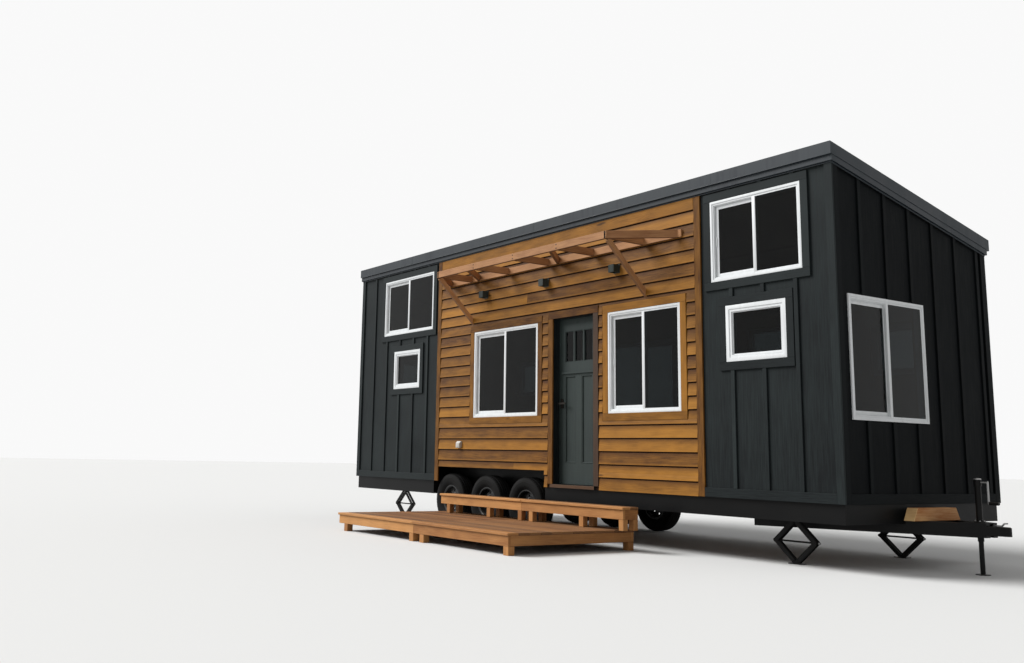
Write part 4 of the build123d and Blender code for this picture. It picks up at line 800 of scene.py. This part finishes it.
smudged, given, gives = new_effect("smudged", ("Glass", "Film"))
place = place_on(smudged)
wipes, waves = noise(place, 3.0, 5.0), noise(place, 1.1, 1.0)
film = blended(ranged(wipes, 0.4, 0.8, 0.0, 0.3), given["Glass"], given["Film"])
give(gives, film, ranged(wipes, 0.3, 0.8, 0.0, 0.07), waves)
clear_glass = {"Transmission_Weight": 1.0, "IOR": 1.22}
# Painted shade: the glass is tinted dark grey-green so that the rooms behind it read as unlit.
glazing = finish_of("glazing", smudged, (74, 82, 84), (104, 112, 112), bump=(0.25, 0.004), **clear_glass)
dress(glazing, "front_window_glass", "back_window_glass", "end_window_glass", "door_glass")


# The door: a panelled timber leaf with three lites over a shelf, in a black stained frame.
# Dark green-grey paint on fir, mouldings round the lites and panels, and a dark bronze handle set.
painted = (0.25, 0.0006)
door_paint = finish_of("door_paint", sheet_paint, (26, 35, 34), (60, 73, 69), 0.55, bump=painted, specular=0.3)
dress(door_paint, "door_leaf")
leaf_y, lite_back, bar_w, cover = -0.29, -0.2737, 0.0206, 0.0003
glass_low, glass_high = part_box("door_glass")
lite_w = (glass_high.x - glass_low.x - 2 * bar_w) / 3
lite_z = (glass_low.z - cover, glass_high.z + cover)
mouldings = []
for i in range(3):
    x = glass_low.x + i * (lite_w + bar_w)
    mouldings.append(picture_frame((x - cover, x + lite_w + cover), (leaf_y + 0.004, lite_back), lite_z, 0.009, 0.003))
panel_w, panel_z = 0.207, (0.924, 2.002)
for x in (0.1805, 0.4925):
    mouldings.append(picture_frame((x, x + panel_w), (leaf_y + 0.0015, leaf_y + 0.0138), panel_z, 0.016, 0.005, 3))
fix("door_mouldings", mouldings, door_paint, "door")
bronze = finish_of("bronze", coated_steel, (38, 34, 30), 0.12, 0.4, bump=(0.15, 0.0003), Metallic=0.8)
dress(bronze, "door_handle")
dress(sheet_stain, "door_frame")


# The awning: an open frame of squared timbers on the wall, with splayed ends and two raking braces.
# Planed cedar 38 mm thick; the domed heads of its bolts sit on the front beam.
def raking(start, end, width, depth, key):
    """A timber from start to end, its width level, with its own grain."""
    run = Vector(end) - Vector(start)
    piece = grained(squared((0, run.length), (-width / 2, width / 2), (-depth / 2, depth / 2), 0.003), 0, key)
    ahead = run.normalized()
    side = Vector((0, 0, 1)).cross(ahead).normalized()
    turn = Matrix((ahead, side, ahead.cross(side))).transposed().to_4x4()
    piece.data.transform(Matrix.Translation(start) @ turn)
    return piece


def cut_at(timber, y, keep_back):
    """Saws the timber just made along the wall's plane, at a depth."""
    with editing():
        bpy.ops.mesh.select_all(action="SELECT")
        kept = {"clear_inner": keep_back, "clear_outer": not keep_back}
        bpy.ops.mesh.bisect(plane_co=(0, y, 0), plane_no=(0, 1, 0), use_fill=True, **kept)
    return timber


beam_left, beam_right, beam_front, beam_back = -1.7725, 1.7275, -0.995, -0.957
awning_low, awning_high, timber_t, flare, planed = 3.432, 3.52, 0.038, 0.58, 0.003
brace_d, brace_foot, bolt_rise, overcut = 0.062, 2.827, 0.022, 0.02
awning_z, awning_d, wall_y = (awning_low + awning_high) / 2, awning_high - awning_low, front_y[1]
level_z, wall_beam_y = (awning_low, awning_high), wall_y - timber_t
timbers = [
    board((beam_left, beam_right), (beam_front, beam_back), level_z, 0, planed),
    board((beam_left - flare, beam_right + flare), (wall_beam_y, wall_y), level_z, 0, planed),
]
bolt_profile = [(-0.0045, 0.0), (-0.004, 0.004), (-0.002, 0.0075), (0.0, 0.009), (0.0, 0.0)]
bolts = []
for i in range(5):
    x = beam_left + timber_t / 2 + i * (beam_right - beam_left - timber_t) / 4
    timbers.append(board((x - timber_t / 2, x + timber_t / 2), (beam_back, wall_beam_y), level_z, 1, planed))
    for z in (awning_z - bolt_rise, awning_z + bolt_rise):
        bolts.append(turned(bolt_profile, 12, Matrix.Translation((x, beam_front, z))))
for x in (0.7075, -1.0425):
    start, end = (x, beam_back - overcut, awning_z), (x - 0.59, wall_y + overcut, awning_z)
    timbers.append(cut_at(cut_at(raking(start, end, timber_t, awning_d, x), wall_y, False), beam_back, True))
for x, side in ((beam_left, -1), (beam_right, 1)):
    start, end = (x - side * timber_t, beam_front, awning_z), (x + side * (flare - timber_t), wall_y, awning_z)
    timbers.append(cut_at(cut_at(raking(start, end, timber_t, awning_d, x), wall_y, False), beam_front, True))
    brace_x = x - side * timber_t / 2
    start, end = (brace_x, beam_front + timber_t, awning_low), (brace_x, wall_y + timber_t, brace_foot)
    timbers.append(cut_at(raking(start, end, timber_t, brace_d, x + 1), wall_y, False))
planed_cedar = wood_of("planed_cedar", (204, 152, 104), (134, 88, 54), (70, 42, 28), greyed, 0.3, 0.3)
fix("awning_timbers", timbers, planed_cedar, stands_for=["awning"])
black_bolts = finish_of("black_bolts", coated_steel, sprayed, 0.07, bump=plated, Metallic=0.5)
fix("awning_bolts", bolts, black_bolts)


# The wall fittings: three square up-and-down lights and a weatherproof outlet box.
# Powder-coated die-cast bodies with frosted lenses, and grey moulded plastic with a hinged lid.
cast = (0.15, 0.0004)
cast_black = finish_of("cast_black", rain_streaked, (34, 42, 39), (74, 80, 74), 0.5, bump=cast, specular=0.3)
dress(cast_black, "wall_lights")
lens = finish_of("lens", rain_streaked, (214, 212, 204), (150, 144, 132), 0.4, bump=(0.1, 0.0005))
lens_w, lens_t, plate_w = 0.034, 0.003, 0.052
lenses, backplates = [], []
for x in (-1.4225, -0.0855, 1.2465):
    for z in (3.1935, 3.2365):
        lenses.append(squared((x - lens_w, x + lens_w), (-0.474, -0.408), (z - lens_t, z + lens_t), 0.002, 2))
    backplates.append(squared((x - plate_w, x + plate_w), (-0.3955, -0.3915), (3.163, 3.267), 0.0015, 2))
fix("light_lenses", lenses, lens)
fix("light_backplates", backplates, cast_black)
moulded = (0.12, 0.0004)
outlet_grey = finish_of("outlet_grey", rain_streaked, (204, 202, 196), (140, 134, 124), 0.5, bump=moulded)
dress(outlet_grey, "outlet_box")
low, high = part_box("outlet_box")
lid_x, lid_z = (low.x + 0.006, high.x - 0.006), (low.z + 0.006, high.z - 0.028)
lid = squared(lid_x, (low.y - 0.005, low.y + 0.001), lid_z, 0.004, 3)
hinge_middle = Matrix.Translation(((low.x + high.x) / 2, low.y - 0.001, high.z - 0.026))
hinge_profile = [(-0.036, 0.0), (-0.036, 0.004), (0.036, 0.004), (0.036, 0.0)]
hinge = turned(hinge_profile, 12, hinge_middle @ Matrix.Rotation(math.pi / 2, 4, "Z"))
fix("outlet_lid", [lid, hinge], outlet_grey)


# The entry deck and the long step on it: two loose platforms, each of two modules side by side.
# Raw reddish cedar decking on rims, joists and short posts, screwed down and lightly weathered.
def platform(x, y, foot, top, leg, inner_legs, rows):
    """Deck boards along X in two lengths, then the front board, paler as painted highlight, with the rims, joists and
    posts, then the screws.
    """
    board_t, rim_t, rim_h, half_joist, nose, half_gap = 0.028, 0.038, 0.105, 0.019, 0.01, 0.0015
    under, joint = top - board_t, (x[0] + x[1]) / 2
    boards, frames, screws = [], [], []
    pitch, inside = (y[1] - y[0] + nose) / rows, (y[0] + rim_t, y[1] - rim_t)
    for m0, m1 in ((x[0], joint), (joint, x[1])):
        outer = (m0 - nose if m0 == x[0] else m0 + half_gap, m1 + nose if m1 == x[1] else m1 - half_gap)
        joists = [m0 + f * (m1 - m0) for f in (0.25, 0.5, 0.75)]
        for i in range(rows):
            y0 = y[0] - nose + i * pitch
            row = board(outer, (y0, y0 + pitch - 0.004), (under, top - 0.0006 - chance.uniform(0, 0.0012)), 0, 0.003)
            # The front row goes with the frame, whose paler cedar gives the boards' front edge a painted highlight.
            (boards if i else frames).append(row)
            for screw_x in (m0 + 0.02, *joists, m1 - 0.02):
                for screw_y in (y0 + pitch * 0.25, y0 + pitch * 0.72):
                    seat = (screw_x + chance.uniform(-0.004, 0.004), screw_y, top - 0.0019)
                    screws.append(copied(screw, Matrix.Translation(seat)))
        rims = [((m0 + 0.001, m1 - 0.001), side, 0) for side in ((y[0] + 0.008, inside[0]), (inside[1], y[1]))]
        rims += [((rim, rim + 0.037), inside, 1) for rim in (m0 + 0.001, m1 - 0.038)]
        rims += [((at - half_joist, at + half_joist), inside, 1) for at in joists]
        frames += [board(rx, ry, (under - rim_h, under - 0.0005), run, 0.002) for rx, ry, run in rims]
        for leg_x in (*(m0 + inner - leg / 2 for inner in inner_legs), m1 - leg):
            for leg_y in (y[0], y[1] - leg):
                leg_sides = (leg_x + 0.001, leg_x + leg - 0.001), (leg_y + 0.009, leg_y + leg - 0.001)
                frames.append(board(*leg_sides, (foot, under - 0.106), 2))
    return boards, frames, screws


knot_and_shade_tones, greyed = (52, 30, 18), (116, 90, 64)
raw_cedar = wood_of("raw_cedar", (152, 105, 62), (86, 52, 28), knot_and_shade_tones, greyed, 0.45)
# Paler cedar for the frame and the front row of boards: the golden tone of the rims and posts, and a painted highlight
# on the front row.
rim_cedar_and_highlight = wood_of("rim_cedar_and_highlight", (208, 150, 90), (146, 94, 50), knot_and_shade_tones, greyed, 0.2)
screw_profile = [(-0.0003, 0.0), (-0.0006, 0.0022), (0.0, 0.0044), (0.0012, 0.0045), (0.0012, 0.0)]
screw = turned(screw_profile, 8, Matrix.Rotation(-math.pi / 2, 4, "X"))
deck_top, step_top = 0.225, 0.475
screws = []
for name, made in (
    ("deck", platform((-2.0125, 1.6475), (-2.265, -0.535), 0.0, deck_top, 0.089, (0.18,), 12)),
    ("step", platform((-1.7775, 1.8075), (-0.845, -0.62), deck_top, step_top, 0.076, (0.18, 1.1), 2)),
):
    fix(f"{name}_boards", made[0], raw_cedar, stands_for=[f"entry_{name}"])
    fix(f"{name}_frame", made[1], rim_cedar_and_highlight)
    screws += made[2]
bpy.data.objects.remove(screw)
fix("deck_screws", screws, zinc_plate)


# The timber block across the tongue: one short beam with sawn-off sloping ends.
# Fresh sawn fir, orange on its faces and paler on the end cuts.
low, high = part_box("timber_block")
block = squared((low.x, high.x), (low.y, high.y), (low.z, high.z), 0.003)
block_middle, end_slope = (low.y + high.y) / 2, 0.06
with editing():
    for end in (-1, 1):
        pick(lambda m, n: m.z > high.z - 0.01 and end * (m.y - block_middle) > 0.3, "VERT")
        bpy.ops.transform.translate(value=(0, -end * end_slope, 0))
block_fir = wood_of("block_fir", (236, 196, 138), (168, 100, 46), knot_and_shade_tones, greyed, 0.1)
block = fix("sawn_block", [grained(block, 1, "block")], block_fir, stands_for=["timber_block"])
end_tone, face_tone = -0.6, 0.8
for face in block.data.polygons:
    block.data.attributes["tone"].data[face.index].value = end_tone if abs(face.normal.y) > 0.6 else face_tone


# The studio: a pale floor, an even pale background, a soft high sun and the camera by the tow end.
# None of it is part of the house.
def shown(tree):
    """1 for light that the camera sees, straight, in a gloss or through glass, and 0 for the rest."""
    seen = put(tree, "ShaderNodeLightPath").outputs
    return maths("MAXIMUM", seen["Is Camera Ray"], maths("MAXIMUM", seen["Is Glossy Ray"], seen["Is Transmission Ray"]))


bpy.ops.mesh.primitive_plane_add(size=160, location=(0, 0, 0))
studio_floor = bpy.context.object
studio_floor.name = "studio_floor"
floor_finish = bpy.data.materials.new("studio_floor")
floor_finish.use_nodes = True
tree = floor_finish.node_tree
floor_shader = tree.nodes["Principled BSDF"].inputs
tree.links.new(blended(shown(tree), (0.5, 0.5, 0.5, 1), (0.72, 0.72, 0.71, 1)), floor_shader["Base Color"])
floor_shader["Roughness"].default_value = 0.9
studio_floor.data.materials.append(floor_finish)

world = bpy.data.worlds.new("studio")
world.use_nodes = True
bpy.context.scene.world = world
tree = world.node_tree
tree.links.new(ranged(shown(tree), 0.0, 1.0, 0.38, 0.95), tree.nodes["Background"].inputs["Strength"])
tree.nodes["Background"].inputs["Color"].default_value = (1, 1, 1, 1)

bpy.ops.object.light_add(type="SUN", location=(-6, -9, 12))
sun = bpy.context.object
sun.name = "studio_sun"
sun.data.energy = 3.7
sun.data.angle = math.radians(32)
sun.rotation_euler = Vector((0.72, 0.58, -0.78)).to_track_quat("-Z", "Y").to_euler()

yaw, pitch, roll = (math.radians(angle) for angle in (56.39, 9.88, 1.26))
ahead = Vector((-math.sin(yaw) * math.cos(pitch), math.cos(yaw) * math.cos(pitch), math.sin(pitch)))
level_right = Vector((math.cos(yaw), math.sin(yaw), 0))
right = math.cos(roll) * level_right + math.sin(roll) * level_right.cross(ahead)
bpy.ops.object.camera_add(location=(10.2125, -8.690, 0.989))
camera = bpy.context.object
camera.rotation_euler = Matrix((right, right.cross(ahead), -ahead)).transposed().to_euler()
optics = camera.data
optics.sensor_width, optics.lens, optics.clip_end = 36, 36.18, 300
optics.shift_x, optics.shift_y = 0.0575, -0.0543
bpy.context.scene.camera = camera
bpy.context.scene.view_settings.view_transform = "Standard"
